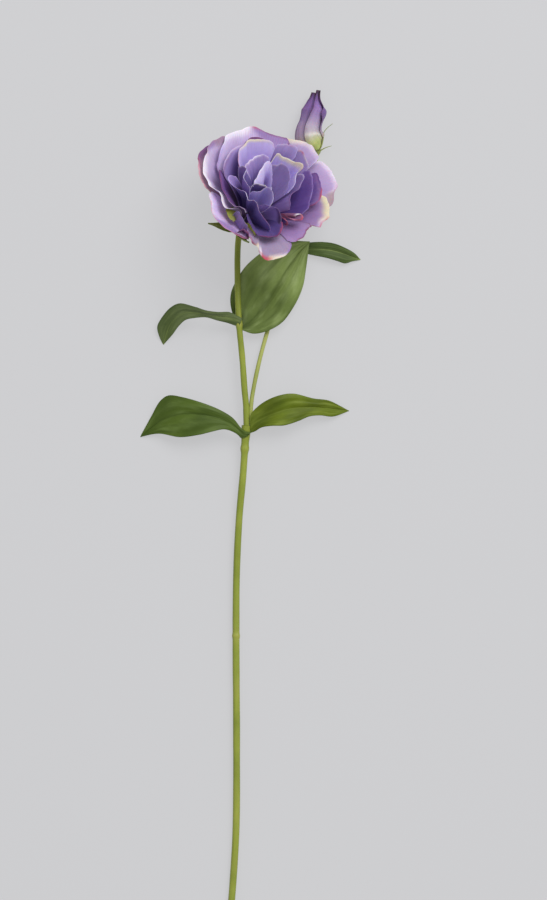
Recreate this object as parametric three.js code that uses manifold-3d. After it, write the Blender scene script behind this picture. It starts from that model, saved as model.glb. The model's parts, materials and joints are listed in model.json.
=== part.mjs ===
// A cut lisianthus flower lying on a table: one open double bloom, one closed bud and their leaves.
// Millimetres, +Z up, +Y from the cut end of the stem towards the bloom. The table is z = 0.
import * as THREE from "three";
import { mergeVertices } from "three/addons/utils/BufferGeometryUtils.js";
import Module from "manifold-3d";

const wasm = await Module();
wasm.setup();

const V = (x, y, z) => new THREE.Vector3(x, y, z);
const radians = THREE.MathUtils.degToRad;

// ---- driving dimensions ----
const PLAN_SHIFT = V(2, 0.1, 0); // brings the middle of the flower's plan over the origin
const PETAL_THICKNESS = 0.5;
const LEAF_THICKNESS = 0.6;
const SEPAL_THICKNESS = 0.7;
const STEM_RADIUS = 1.9;
const FLOWER_STALK_RADIUS = 1.45;
const BUD_STALK_RADIUS = 1.15;

// The open bloom: where its petals spring from, and the direction that it faces.
const BLOOM_BASE = V(-6, 151.8, 10);
const BLOOM_AXIS = V(0.364, 0.471, 0.803).normalize();
const RECEPTACLE_HEIGHT = 6.4; // of the cone that carries the petals
const OUTER_RING = 6.3; // the petals stand on the cone in rings; this is the radius of ring 0
const OUTER_LIFT = 0.7; // and its height
const RING_STEP = 0.62; // each further ring is this much closer to the axis, and this much higher
const CALYX_LENGTH = 3.4; // of the calyx cup, along the axis

// The bud: the middle line from its base to its tip.
const BUD_LINE = [V(35, 193.7, 3.5), V(32, 199, 6.2), V(31.5, 207, 7.1), V(32.7, 215.4, 6.9),
  V(34, 226, 6.6)];

// How finely the sheets and stalks are divided.
const PETAL_GRID = [4, 11]; // along and across
const LEAF_GRID = [9, 6];
const SEPAL_GRID = [5, 2];
const BUD_PETAL_GRID = [8, 6];
const STALK_SIDES = 8;
const THREAD_SIDES = 5;
const TURNED_SIDES = 12;

// ---- materials ----
const finish = (color, roughness) =>
  new THREE.MeshStandardMaterial({ color, roughness, metalness: 0, side: THREE.DoubleSide });
const STEM_GREEN = finish(0x8f9645, 0.6);
const LEAF_GREEN = finish(0x56662b, 0.55);
const CALYX_GREEN = finish(0x7f8a2e, 0.6);
const OUTER_PETAL = finish(0xb39fce, 0.75);
const MIDDLE_PETAL = finish(0x9a84c0, 0.75);
const INNER_PETAL = finish(0x7a5fae, 0.75);
const BUD_PETAL = finish(0x9a83ad, 0.7);

// ---- solids ----

// The manifold-3d solid of a closed three.js geometry.
function solidFrom(geometry) {
  const bare = new THREE.BufferGeometry();
  bare.setAttribute("position", geometry.getAttribute("position"));
  bare.setIndex(geometry.index);
  const merged = mergeVertices(bare, 1e-4);
  const corners = [];
  for (let i = 0; i < merged.index.count; i += 3) {
    const [a, b, c] = [0, 1, 2].map((k) => merged.index.getX(i + k));
    if (a !== b && b !== c && a !== c) corners.push(a, b, c);
  }
  const make = (triVerts) =>
    new wasm.Manifold(
      new wasm.Mesh({
        numProp: 3,
        vertProperties: new Float32Array(merged.attributes.position.array),
        triVerts: new Uint32Array(triVerts),
      }),
    );
  const solid = make(corners);
  if (solid.volume() >= 0) return solid;
  return make(corners.reverse());
}

// The three.js geometry of a solid.
function geometryFrom(solid) {
  const mesh = solid.getMesh();
  const geometry = new THREE.BufferGeometry();
  geometry.setAttribute("position", new THREE.BufferAttribute(new Float32Array(mesh.vertProperties), 3));
  geometry.setIndex(new THREE.BufferAttribute(new Uint32Array(mesh.triVerts), 1));
  geometry.computeVertexNormals();
  return geometry;
}

// A closed body between two sheets of points of the same rows and columns.
function bodyBetween(front, back) {
  const rows = front.length;
  const columns = front[0].length;
  const positions = [front, back].flat(2).flatMap((p) => [p.x, p.y, p.z]);
  const index = [];
  const at = (side, i, j) => (side * rows + i) * columns + j;
  const quad = (a, b, c, d) => index.push(a, b, c, a, c, d);
  for (let i = 0; i < rows - 1; i++) {
    for (let j = 0; j < columns - 1; j++) {
      quad(at(0, i, j), at(0, i, j + 1), at(0, i + 1, j + 1), at(0, i + 1, j));
      quad(at(1, i, j), at(1, i + 1, j), at(1, i + 1, j + 1), at(1, i, j + 1));
    }
    const last = columns - 1;
    quad(at(0, i, 0), at(0, i + 1, 0), at(1, i + 1, 0), at(1, i, 0));
    quad(at(0, i + 1, last), at(0, i, last), at(1, i, last), at(1, i + 1, last));
  }
  for (let j = 0; j < columns - 1; j++) {
    const last = rows - 1;
    quad(at(0, 0, j + 1), at(0, 0, j), at(1, 0, j), at(1, 0, j + 1));
    quad(at(0, last, j), at(0, last, j + 1), at(1, last, j + 1), at(1, last, j));
  }
  const geometry = new THREE.BufferGeometry();
  geometry.setAttribute("position", new THREE.Float32BufferAttribute(positions, 3));
  geometry.setIndex(index);
  return solidFrom(geometry);
}

// A thin sheet of even thickness about surface(u, v), with u and v from 0 to 1.
function sheet(surface, [rows, columns], thickness) {
  const grid = [];
  for (let i = 0; i <= rows; i++) {
    grid.push([]);
    for (let j = 0; j <= columns; j++) grid[i].push(surface(i / rows, j / columns));
  }
  const point = (i, j) => grid[Math.min(rows, Math.max(0, i))][Math.min(columns, Math.max(0, j))];
  const offset = (sign) =>
    grid.map((row, i) =>
      row.map((p, j) => {
        const along = point(i + 1, j).clone().sub(point(i - 1, j));
        const across = point(i, j + 1).clone().sub(point(i, j - 1));
        return p.clone().addScaledVector(across.cross(along).normalize(), (sign * thickness) / 2);
      }),
    );
  return bodyBetween(offset(1), offset(-1));
}

// A round stalk along a smooth curve, with radius(t) for t from 0 to 1, flat at both ends.
function stalk(points, radius, steps, sides) {
  const curve = smooth(points);
  const frames = curve.computeFrenetFrames(steps, false);
  const positions = [];
  for (let i = 0; i <= steps; i++) {
    const centre = curve.getPointAt(i / steps);
    for (let k = 0; k < sides; k++) {
      const turn = (2 * Math.PI * k) / sides;
      const p = centre
        .clone()
        .addScaledVector(frames.normals[i], radius(i / steps) * Math.cos(turn))
        .addScaledVector(frames.binormals[i], radius(i / steps) * Math.sin(turn));
      positions.push(p.x, p.y, p.z);
    }
  }
  const endCentre = positions.length / 3;
  for (const t of [0, 1]) positions.push(...curve.getPointAt(t).toArray());
  const index = [];
  for (let k = 0; k < sides; k++) {
    const next = (k + 1) % sides;
    for (let i = 0; i < steps; i++) {
      const a = i * sides + k;
      const b = i * sides + next;
      index.push(a, b, b + sides, a, b + sides, a + sides);
    }
    index.push(endCentre, next, k);
    index.push(endCentre + 1, steps * sides + k, steps * sides + next);
  }
  const geometry = new THREE.BufferGeometry();
  geometry.setAttribute("position", new THREE.Float32BufferAttribute(positions, 3));
  geometry.setIndex(index);
  return solidFrom(geometry);
}

const smooth = (points) => new THREE.CatmullRomCurve3(points, false, "centripetal");
const bump = (t, at, width, height) => height * Math.exp(-(((t - at) / width) ** 2));
const bezier = ([a, b, c, d], t) =>
  a * (1 - t) ** 3 + 3 * b * t * (1 - t) ** 2 + 3 * c * t ** 2 * (1 - t) + d * t ** 3;

// ---- stems ----
const MAIN_STEM_LINE = [
  V(-12.9, -226, 1.9), V(-11.6, -210, 1.9), V(-9.9, -180, 2), V(-9.6, -130, 2.2), V(-9.9, -75, 2.6),
  V(-9.6, -40, 3.1), V(-8.2, -10, 3.8), V(-6, 15, 4.8), V(-4.6, 36, 5.8), V(-4.1, 41.5, 6.1),
];
const FLOWER_STALK_LINE = [
  V(-4.2, 42, 6.2), V(-4.5, 54, 6.7), V(-6.3, 78, 7.4), V(-8.2, 96.8, 7.8),
  V(-8.9, 112, 7.4), V(-9.1, 124, 6.4), V(-9.1, 134, 5.2), V(-8.8, 141.5, 4.6),
  V(-8.1, 147.4, 4.9), V(-7.5, 149.8, 6.7),
];
const BUD_STALK_LINE = [
  V(-1.35, 44.2, 5.5), V(-0.2, 56, 4.9), V(3.3, 76, 3.5), V(8.2, 96.5, 2.2), V(14, 117, 1.6),
  V(21, 140, 1.8), V(27, 160, 1.9), V(32, 178, 2.1), V(34.5, 190.2, 2.8),
];
const KNUCKLE_AT = 0.567; // where the main stem has its small ring
const UPPER_NODE_AT = 0.512; // where the flower stalk bears its leaves
const BUD_NODE_AT = 0.655; // where the bud stalk bears its leaf

const mainStem = stalk(
  MAIN_STEM_LINE,
  (t) => STEM_RADIUS + bump(t, KNUCKLE_AT, 0.008, 0.2) + bump(t, 1, 0.03, 1),
  28,
  STALK_SIDES,
);
const flowerStalk = stalk(
  FLOWER_STALK_LINE,
  (t) => FLOWER_STALK_RADIUS + bump(t, 0, 0.15, 0.4) + bump(t, UPPER_NODE_AT, 0.04, 0.35),
  18,
  STALK_SIDES,
);
const budStalk = stalk(
  BUD_STALK_LINE,
  (t) => BUD_STALK_RADIUS + bump(t, 0, 0.1, 0.1) + bump(t, BUD_NODE_AT, 0.02, 0.25),
  22,
  STALK_SIDES,
);

// ---- leaves ----

const LEAF_REACH = 0.985; // share of its curves that a leaf's sheet covers, so that its tip is blunt

// A leaf between its two edges, with its midrib a curve of its own. Each curve runs from base to tip.
function leafSurface({ left, rib, right }) {
  const [leftCurve, ribCurve, rightCurve] = [left, rib, right].map((points) =>
    smooth(points.map(([x, y, z]) => V(x, y, z))),
  );
  return (u, v) => {
    const t = u * LEAF_REACH;
    const [a, m, b] = [leftCurve, ribCurve, rightCurve].map((curve) => curve.getPointAt(t));
    const w = 2 * v - 1;
    const side = w < 0 ? a : b;
    return m.clone().lerp(side, Math.abs(w));
  };
}

const LEAVES = {
  leaf_lower_left: {
    left: [[-7.8, 36, 6.2], [-12.7, 38.6, 9], [-16.5, 39.3, 10.5], [-23.1, 38, 11.5],
      [-30, 36.4, 11], [-40.7, 35.1, 8.2], [-52.3, 37, 4], [-62.8, 35.2, 0.1]],
    rib: [[-7.4, 38, 6.6], [-13, 42.8, 8.6], [-20, 45.6, 9.6], [-30, 47.4, 9.4], [-40, 47.6, 7.6],
      [-50, 44.6, 4.2], [-62.8, 35.2, 0.1]],
    right: [[-7, 40, 6.8], [-11.7, 45.7, 8.6], [-19.8, 50.6, 9.8], [-29.7, 54.4, 10.2],
      [-39, 57, 8.8], [-47.2, 58, 6.2], [-51.6, 55, 4.8], [-56.4, 46.8, 2.4], [-62.8, 35.2, 0.1]],
  },
  leaf_lower_right: {
    left: [[-0.6, 47.6, 6.8], [2.4, 52.2, 9], [8.5, 56.1, 10.8], [15, 58.3, 11.4],
      [22, 58.9, 10.6], [32.7, 56.3, 7.8], [41, 55.2, 5], [46.2, 52.9, 2.8], [52.4, 49.5, 0.1]],
    rib: [[-0.4, 41, 6.6], [6, 45.8, 8.4], [13, 49, 9.6], [20, 50.8, 9.4], [30, 51.6, 7.4],
      [40, 51.2, 4.2], [52.4, 49.5, 0.1]],
    right: [[-0.2, 38.4, 6.2], [3.4, 40.2, 9], [9, 41.2, 11], [17, 41.6, 11.4], [24.6, 44, 9.8],
      [30.3, 46.4, 8], [36, 47, 6], [43.2, 46.4, 3.4], [52.4, 49.5, 0.1]],
  },
  leaf_upper_left: {
    left: [[-10.8, 95.4, 8], [-14, 97.6, 9.2], [-20.6, 99.2, 10.8], [-27, 101, 11],
      [-33, 100.5, 10.4], [-37.6, 99.4, 9.4], [-41.4, 96, 7], [-45, 91.2, 4], [-50, 85.8, 0.1]],
    rib: [[-10.4, 98.6, 8.6], [-16, 101, 11], [-24, 102, 13], [-32, 103.4, 12], [-39, 103, 9.8],
      [-45.4, 97.6, 5.8], [-50, 85.8, 0.1]],
    right: [[-9.8, 101, 9], [-13.6, 103.8, 12], [-20, 103.7, 15], [-26.1, 104.6, 16],
      [-33, 106.6, 14.6], [-41, 108.5, 11.4], [-46, 106.2, 8.6], [-51, 100.4, 5],
      [-53.2, 95.8, 3.2], [-52.2, 90.6, 1.8], [-50, 85.8, 0.1]],
  },
  leaf_upper_right: {
    left: [[-8.2, 94.4, 5.4], [-11, 100.6, 5.2], [-13, 108.6, 4.9], [-12.6, 114.6, 4.7],
      [-9.9, 121, 4.5], [-4.6, 129, 5.4], [2.8, 135.6, 6], [10, 140.2, 6.2], [19, 142.8, 5.6],
      [30.6, 142.7, 4.2]],
    rib: [[-6.6, 94.2, 5.2], [-1.7, 99, 4.7], [5.5, 108, 4.3], [12, 118, 4.3], [18.6, 128, 4.5],
      [25, 137, 4.6], [30.6, 142.7, 4.2]],
    right: [[-5, 92.6, 5.8], [-1, 92, 6.4], [4.4, 92.5, 7], [10.7, 94.9, 7.2], [16, 98.6, 7.2],
      [20.4, 104.3, 7], [24.8, 112.2, 6.8], [27.2, 119, 6.4], [28.6, 128, 5.8], [30.6, 142.7, 4.2]],
  },
  leaf_bud_right: {
    left: [[22.6, 140.9, 2.4], [26.6, 142, 2.8], [31.1, 142.2, 3.6], [38, 142.4, 4.8],
      [44, 141.6, 4.8], [49.5, 139.5, 3.8], [55, 136.4, 2.2], [58.6, 132.6, 0.25]],
    rib: [[22.8, 139.6, 2], [29, 138.8, 2.4], [36, 138.4, 3.2], [43, 137.8, 3.2], [50, 135.8, 2.2],
      [58.6, 132.6, 0.25]],
    right: [[22.8, 138.4, 2.2], [27, 136.4, 2.6], [33, 135, 3.4], [40, 133.6, 4.2],
      [46, 131.8, 3.6], [50.1, 130.6, 2.6], [54, 131.7, 1.8], [58.6, 132.6, 0.25]],
  },
};

// ---- frame of the bloom ----
const DOWNHILL = V(BLOOM_AXIS.x, BLOOM_AXIS.y, 0).normalize();
const ACROSS = V(0, 0, 1).cross(DOWNHILL);
const LOW_SIDE = ACROSS.clone().cross(BLOOM_AXIS);

// The point at a radius and height about the bloom's axis, at turn degrees about it from its low side.
function aboutAxis(radius, turn, height) {
  const a = radians(turn);
  return BLOOM_BASE.clone()
    .addScaledVector(BLOOM_AXIS, height)
    .addScaledVector(LOW_SIDE, radius * Math.cos(a))
    .addScaledVector(ACROSS, radius * Math.sin(a));
}

// A point from its place in plan, relative to the bloom's base, and its height along the axis.
function fromPlan([x, y, height]) {
  const z = (height - BLOOM_AXIS.x * x - BLOOM_AXIS.y * y) / BLOOM_AXIS.z;
  return V(x, y, z).add(BLOOM_BASE);
}

// ---- petals of the bloom ----

// A petal fans out from its ring on the receptacle to its rim. The rim's points are given in plan
// and height. The petal first rises along the axis and meets its rim leaning out by flare degrees,
// which goes from a first value at the rim's start to a last one at its end.
const PETAL_RISE = 0.42; // share of the petal's height that it rises before it leans
const PETAL_SPREAD = 0.1; // share of its reach that it leans by then
const RIM_PULL = 0.36; // share of its length over which the rim's lean is felt

function petalSurface({ layer, rim, flare }) {
  const curve = smooth(rim.map(fromPlan));
  const ring = OUTER_RING - RING_STEP * layer;
  const lift = OUTER_LIFT + RING_STEP * Math.max(0, layer);
  return (u, v) => {
    const tip = curve.getPointAt(v);
    const reach = tip.clone().sub(BLOOM_BASE);
    const height = reach.dot(BLOOM_AXIS);
    const out = reach.addScaledVector(BLOOM_AXIS, -height);
    const radius = out.length();
    out.normalize();
    const lean = radians(THREE.MathUtils.lerp(flare[0], flare[1], v));
    const pull = Math.hypot(radius - ring, height - lift) * RIM_PULL;
    const spread = ring + PETAL_SPREAD * (radius - ring);
    const rise = lift + PETAL_RISE * (height - lift);
    const r = bezier([ring, spread, radius - pull * Math.sin(lean), radius], u);
    const h = bezier([lift, rise, height - pull * Math.cos(lean), height], u);
    return BLOOM_BASE.clone().addScaledVector(out, r).addScaledVector(BLOOM_AXIS, h);
  };
}

const PETALS = {
  petal_outer_left: {
    layer: -1, flare: [60, 45],
    rim: [[-9, 48.5, 33], [-15.5, 46, 32], [-22, 41, 32], [-24.5, 35.5, 32], [-24.5, 29.5, 32.5],
      [-22.4, 24, 33]],
  },
  petal_outer_lower_left: {
    layer: 0, flare: [50, 50],
    rim: [[-20.2, 18.8, 34.5], [-18.5, 14, 35.5], [-17.5, 10, 36], [-16, 6, 36], [-13, 0, 35.5],
      [-8, -3.5, 35], [-4.5, -6, 34]],
  },
  petal_outer_lower_right: {
    layer: 2, flare: [75, 70],
    rim: [[27, -10.5, 32.5], [29.5, -8.8, 32], [32.5, -6.5, 31.5], [35.8, -2.4, 31]],
  },
  petal_outer_right: {
    layer: 0, flare: [80, 85],
    rim: [[50, 14, 28], [52.5, 22, 28.5], [50, 27.5, 28], [45, 34, 27], [41.5, 37, 28]],
  },
  petal_left: {
    layer: 1, flare: [45, 45],
    rim: [[-10, 46.5, 36], [-15.5, 43.5, 37], [-19.5, 38.5, 38], [-22, 35.5, 38.5],
      [-22.5, 31, 38.5], [-21.5, 24, 38.5], [-17, 19, 38.5], [-13.5, 15.5, 38.5], [-12, 11, 38.5],
      [-9.5, 8.8, 38], [-7.5, 8.4, 37.5]],
  },
  petal_lower_left: {
    layer: 1, flare: [30, 30],
    rim: [[-7, 1.5, 34.5], [-5.8, 3.7, 36], [-3, 7, 37.5], [0, 3.5, 37], [1.5, 0.5, 36]],
  },
  petal_bottom: {
    layer: 1, flare: [50, 95],
    rim: [[2, -7, 33], [5.5, -10, 34], [9, -13, 34], [11, -18, 33], [15.5, -20, 33], [20, -19, 34],
      [24, -16.5, 34], [26, -12.5, 34]],
  },
  petal_right_lower: {
    layer: 1, flare: [70, 80],
    rim: [[37.6, -0.8, 30.5], [39.4, -1.6, 31], [41.8, -1.6, 31], [46.5, 3.5, 31], [49, 10, 30.5],
      [49.5, 15.5, 30]],
  },
  petal_upper_right: {
    layer: 1, flare: [70, 70],
    rim: [[42.5, 36.5, 33], [41.5, 39, 35], [38, 44.5, 36.5], [32, 46.8, 35.5], [25, 47.5, 33],
      [20.5, 48.2, 31]],
  },
  petal_top: {
    layer: 2, flare: [50, 70],
    rim: [[-14.5, 31, 35.5], [-14, 36.5, 36.5], [-12.5, 39, 37], [-10.5, 44.5, 36.5], [-9, 48, 36],
      [-6, 49.5, 35], [-1, 51.5, 34], [4.5, 54, 33.5], [10, 51.5, 34], [15.5, 49, 35.5],
      [24.5, 47.2, 36.5]],
  },
  petal_inner_left: {
    layer: 3, flare: [35, 25],
    rim: [[-11.5, 33, 40], [-13, 29, 40.5], [-12.5, 25.5, 40.5], [-11.5, 18.5, 40.5],
      [-9.5, 15, 40], [-6, 11.5, 39.5], [-3, 8.5, 39], [1, 6.5, 38.5]],
  },
  petal_inner_bottom: {
    layer: 3, flare: [25, 42],
    rim: [[2.5, 0, 38.5], [3.7, -3, 39.5], [5.5, -5, 40], [10, -6.5, 40], [13.5, -7, 40],
      [18.5, -7, 39.5], [21.5, -5, 39]],
  },
  petal_inner_lower_right: {
    layer: 3, flare: [35, 35],
    rim: [[23, 1.5, 37], [25, 3.5, 37.5], [27.5, 3.5, 37.5], [29.5, 1.5, 37.5], [31, 3, 37.5],
      [32.5, 5.5, 37], [33.5, 4.5, 36.5], [33.5, 2, 36]],
  },
  petal_inner_right: {
    layer: 3, flare: [35, 40],
    rim: [[36.5, 28.5, 36], [39.5, 27.5, 36], [42, 23, 36.5], [43, 18, 36.5], [42, 14, 36],
      [39.5, 10.5, 35.5]],
  },
  petal_back_right: {
    layer: 3, flare: [35, 35],
    rim: [[16, 43.5, 39], [23, 43.5, 40], [27.5, 41.5, 40], [30, 42, 39.5], [30, 40, 39]],
  },
  petal_back_left: {
    layer: 4, flare: [30, 40],
    rim: [[-10.5, 26.5, 40], [-9.5, 32.5, 41], [-5.5, 38.5, 41.5], [-1.5, 41.5, 41.5],
      [1.5, 43, 41.5], [1.5, 45.5, 40.5], [4, 47, 40.5], [9.5, 47, 40.5], [13.5, 45.5, 41],
      [17.5, 44, 41]],
  },
  petal_right: {
    layer: 4, flare: [30, 30],
    rim: [[30.2, 37.9, 38.5], [31.9, 38.7, 38.5], [33.6, 37.1, 38.5], [35.5, 34, 38],
      [36.5, 29.5, 37.5]],
  },
  petal_heart_back: {
    layer: 5, flare: [20, 20],
    rim: [[18, 38.5, 41.5], [14, 40.4, 42.5], [10.5, 41, 43], [4, 40.5, 43.5], [-1.5, 40, 44],
      [-3, 37, 44], [-2, 34, 44], [-2.5, 31.5, 44], [-0.5, 30.5, 43.5]],
  },
  petal_heart_front: {
    layer: 5, flare: [15, 15],
    rim: [[-6, 28, 41.5], [-7.5, 25.5, 42], [-6, 21.5, 43], [-2.5, 18.5, 43.5], [0.5, 17.5, 43.5],
      [3.5, 12.5, 43.5], [7, 12.5, 43.5], [9, 7, 43], [10, 4, 41.5], [13.5, 0, 39], [16, -2, 36.5]],
  },
  petal_heart_right: {
    layer: 5, flare: [25, 20],
    rim: [[34, 30, 38.5], [36.5, 28, 39], [37.5, 22.5, 39], [37, 17.5, 38.5], [35.5, 9, 37],
      [33.5, 5, 35.5]],
  },
  petal_core_left: {
    layer: 6, flare: [15, 15],
    rim: [[4.5, 18.5, 46], [3, 20.5, 46.3], [1, 25, 46], [1, 28.5, 46.5], [1.5, 31.5, 46.5],
      [3.5, 34, 46.5], [6, 36, 46.5], [9, 37.5, 46.5], [12, 37.5, 46]],
  },
  petal_core_right: {
    layer: 6, flare: [20, 10],
    rim: [[16.5, 36.5, 45], [20, 39, 45], [23, 36, 45], [25.5, 36.5, 44.5], [28.5, 34, 44.5],
      [33, 30.5, 44], [32.5, 27.5, 44], [33.5, 26, 43.5], [32.5, 23, 43], [28.5, 17.5, 41.5],
      [25.5, 14, 40], [25.5, 11, 38.5], [27, 6.5, 36.5]],
  },
  petal_core_front: {
    layer: 6, flare: [5, 5],
    rim: [[4, 17, 44], [6, 17.5, 45], [8.5, 17.8, 45.5], [11, 18, 46], [12.5, 19, 46.5],
      [16.5, 17.3, 46], [16.8, 13.5, 45], [15.5, 9.5, 43]],
  },
  petal_centre_right: {
    layer: 7, flare: [10, 10],
    rim: [[16.5, 31.5, 46], [18.5, 32, 46.5], [22.5, 33, 46.5], [26, 31, 46], [27, 26, 45],
      [26, 20.5, 43], [24, 15.5, 41]],
  },
  petal_centre_front: {
    layer: 7, flare: [5, 5],
    rim: [[6.2, 20.6, 45], [7.4, 20.9, 46.5], [9.4, 21, 48], [11.6, 20.6, 48], [13.6, 20.4, 48],
      [15, 19.6, 47]],
  },
  petal_centre: {
    layer: 8, flare: [10, 5],
    rim: [[6.5, 22.5, 46.5], [8, 24.5, 47.5], [10, 27, 48], [11.5, 30.5, 48.5], [13.5, 34, 48.5],
      [15.6, 31.5, 46], [15.6, 25, 42], [15.6, 20, 38]],
  },
};

// ---- receptacle and calyx of the bloom ----

// A turned solid about the bloom's axis, from its profile of radius and height.
function turned(profile) {
  const outline = profile.map(([r, h]) => new THREE.Vector2(r, h));
  const geometry = new THREE.LatheGeometry(outline, TURNED_SIDES);
  const upright = new THREE.Quaternion().setFromUnitVectors(V(0, 1, 0), BLOOM_AXIS);
  geometry.applyQuaternion(upright).translate(BLOOM_BASE.x, BLOOM_BASE.y, BLOOM_BASE.z);
  return solidFrom(geometry);
}

const receptacle = turned([
  [0, 0.3], [5, 0.3], [5.2, 0.8], [0.4, RECEPTACLE_HEIGHT], [0, RECEPTACLE_HEIGHT],
]);

const SEPAL_ROOT = [3.4, -2]; // the radius and height at which each sepal springs from the calyx cup

// A pointed sepal at turn degrees about the axis. Its tip is given as a radius and a height.
function sepal({ turn, tip, halfWidth }) {
  const root = SEPAL_ROOT;
  const knee = [tip[0] * 0.5, tip[1] * 0.2 - 2.2];
  return sheet(
    (u, v) => {
      const [r, h] = [0, 1].map((k) => bezier([root[k], knee[k], knee[k], tip[k]], u));
      const half = halfWidth * (0.75 + 0.6 * u) * (1 - u ** 1.6) + 0.15;
      const side = ACROSS.clone().multiplyScalar(Math.cos(radians(turn)));
      side.addScaledVector(LOW_SIDE, -Math.sin(radians(turn))).multiplyScalar((2 * v - 1) * half);
      return aboutAxis(r, turn, h).add(side);
    },
    SEPAL_GRID,
    SEPAL_THICKNESS,
  );
}

const SEPALS = [
  { turn: 141, tip: [24, 6], halfWidth: 4 },
  { turn: 204, tip: [21.5, 16], halfWidth: 3.4 },
  { turn: 280, tip: [17, 12.5], halfWidth: 3 },
  { turn: 352, tip: [19, 8.5], halfWidth: 3 },
  { turn: 66, tip: [17, 12], halfWidth: 3 },
];

const calyxCup = turned([
  [0, -CALYX_LENGTH], [1.6, -CALYX_LENGTH], [3.6, -2.2], [5, -0.6], [5, 0], [0, 0],
]);
const calyx = SEPALS.map(sepal).reduce((whole, blade) => whole.add(blade), calyxCup);

// ---- bud ----
const BUD_PETALS = 5;
const BUD_FIRST_EDGE = 110; // degrees about the bud's line to the first petal's outer edge
const BUD_WRAP = 124; // degrees that each petal reaches round the bud
const BUD_TWIST = 24; // degrees that the petals turn from base to tip
const BUD_FLATNESS = 0.88; // its depth as a share of its width
const BUD_PETAL_REACH = [0.97, 1, 0.93, 0.95, 0.97]; // where each petal ends, as a share of the bud
const BUD_PETAL_ROOT = 0.02; // and where they all begin
const BUD_LAP = 0.75; // each petal's first edge is this far outside the bud's round, its last inside
const budCurve = smooth(BUD_LINE);

// The bud's half width at t from base to tip.
function budRadius(t) {
  const profile = smooth([
    V(0, 1.9, 0), V(0.1, 4.6, 0), V(0.25, 6.6, 0), V(0.5, 6, 0), V(0.68, 5.7, 0),
    V(0.85, 3.4, 0), V(1, 1.3, 0),
  ]);
  return profile.getPoint(profileShare(profile, t)).y;
}

// The parameter at which a profile's x reaches t.
function profileShare(profile, t) {
  let [low, high] = [0, 1];
  for (let i = 0; i < 24; i++) {
    const middle = (low + high) / 2;
    if (profile.getPoint(middle).x < t) low = middle;
    else high = middle;
  }
  return (low + high) / 2;
}

// The point on the bud at t, at turn degrees about its line, with the radius grown by extra.
function onBud(t, turn, extra) {
  const along = budCurve.getTangentAt(t);
  const side = along.clone().cross(V(0, 0, 1)).normalize();
  const up = side.clone().cross(along).normalize();
  const a = radians(turn);
  const r = budRadius(t) + extra;
  return budCurve
    .getPointAt(t)
    .addScaledVector(side, r * Math.cos(a))
    .addScaledVector(up, BUD_FLATNESS * r * Math.sin(a));
}

// A petal of the bud, which laps over the petal beside it and under the next.
function budPetal(k) {
  const from = BUD_FIRST_EDGE - (360 / BUD_PETALS) * k;
  return sheet(
    (u, v) => {
      const t = THREE.MathUtils.lerp(BUD_PETAL_ROOT, BUD_PETAL_REACH[k], u);
      const narrow = 1 - 0.25 * u ** 4;
      return onBud(t, from + BUD_TWIST * t - BUD_WRAP * v * narrow, BUD_LAP * (1 - 2 * v));
    },
    BUD_PETAL_GRID,
    PETAL_THICKNESS,
  );
}

// The bud's own calyx: a small cup with five thread-like sepals.
const THREAD_RADIUS = 0.45;
const SEPAL_THREADS = [
  [V(35.2, 192, 3.4), V(38.7, 195, 5), V(39.7, 199.8, 6), V(39.9, 203.4, 6.4), V(42.9, 207.2, 7)],
  [V(35.2, 192, 3), V(38.2, 194.2, 3.4), V(40.4, 195.1, 4), V(43.4, 195.3, 4.6)],
  [V(34.6, 191.8, 2.8), V(31.2, 192.2, 2.4), V(27.6, 193.6, 2.2), V(25, 196.2, 2.4)],
  [V(35.2, 192, 2.4), V(38.4, 195.4, 1), V(38.8, 200.6, 0.8)],
  [V(34.6, 191.8, 3.2), V(31.4, 192, 4.4), V(28.4, 192.4, 6.2)],
];

const BUD_CUP_LINE = [V(34.6, 190.6, 2.9), V(34.8, 191.7, 3.1), V(34.9, 192.8, 3.3)];

const threadRadius = (t) => THREAD_RADIUS * (1 - 0.4 * t);
const budCup = stalk(BUD_CUP_LINE, (t) => 1.2 + 0.9 * t, 3, STALK_SIDES);
const threads = SEPAL_THREADS.map((line) => stalk(line, threadRadius, 6, THREAD_SIDES));
const budCalyx = threads.reduce((whole, thread) => whole.add(thread), budCup);

// ---- assembly ----
const flower = new THREE.Group();
flower.name = "lisianthus_flower";
flower.position.copy(PLAN_SHIFT);

function addPiece(name, solid, material) {
  const mesh = new THREE.Mesh(geometryFrom(solid), material);
  mesh.name = name;
  flower.add(mesh);
}

// The finish of a petal: pale outside, deeper towards the heart of the bloom.
function petalFinish({ layer }) {
  if (layer < 3) return OUTER_PETAL;
  return layer < 5 ? MIDDLE_PETAL : INNER_PETAL;
}

addPiece("main_stem", mainStem, STEM_GREEN);
addPiece("flower_stalk", flowerStalk, STEM_GREEN);
addPiece("bud_stalk", budStalk, STEM_GREEN);
for (const [name, leaf] of Object.entries(LEAVES))
  addPiece(name, sheet(leafSurface(leaf), LEAF_GRID, LEAF_THICKNESS), LEAF_GREEN);
addPiece("calyx", calyx, CALYX_GREEN);
addPiece("receptacle", receptacle, CALYX_GREEN);
for (const [name, petal] of Object.entries(PETALS))
  addPiece(name, sheet(petalSurface(petal), PETAL_GRID, PETAL_THICKNESS), petalFinish(petal));
addPiece("bud_calyx", budCalyx, CALYX_GREEN);
for (let k = 0; k < BUD_PETALS; k++) addPiece(`bud_petal_${k + 1}`, budPetal(k), BUD_PETAL);

export default flower;
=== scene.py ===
"""A cut lisianthus lying on a table: the finished stalks, leaves, sepals, petals and bud of its frame.

Sizes in the classes are millimetres in the maker's own frame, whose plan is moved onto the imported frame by
the foot of the receptacle. Blender objects are in metres, at the origin, with their place in their mesh.
"""

import json
import logging
import math
from dataclasses import dataclass, field
from enum import Enum
from typing import Any, Callable, Sequence

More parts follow.
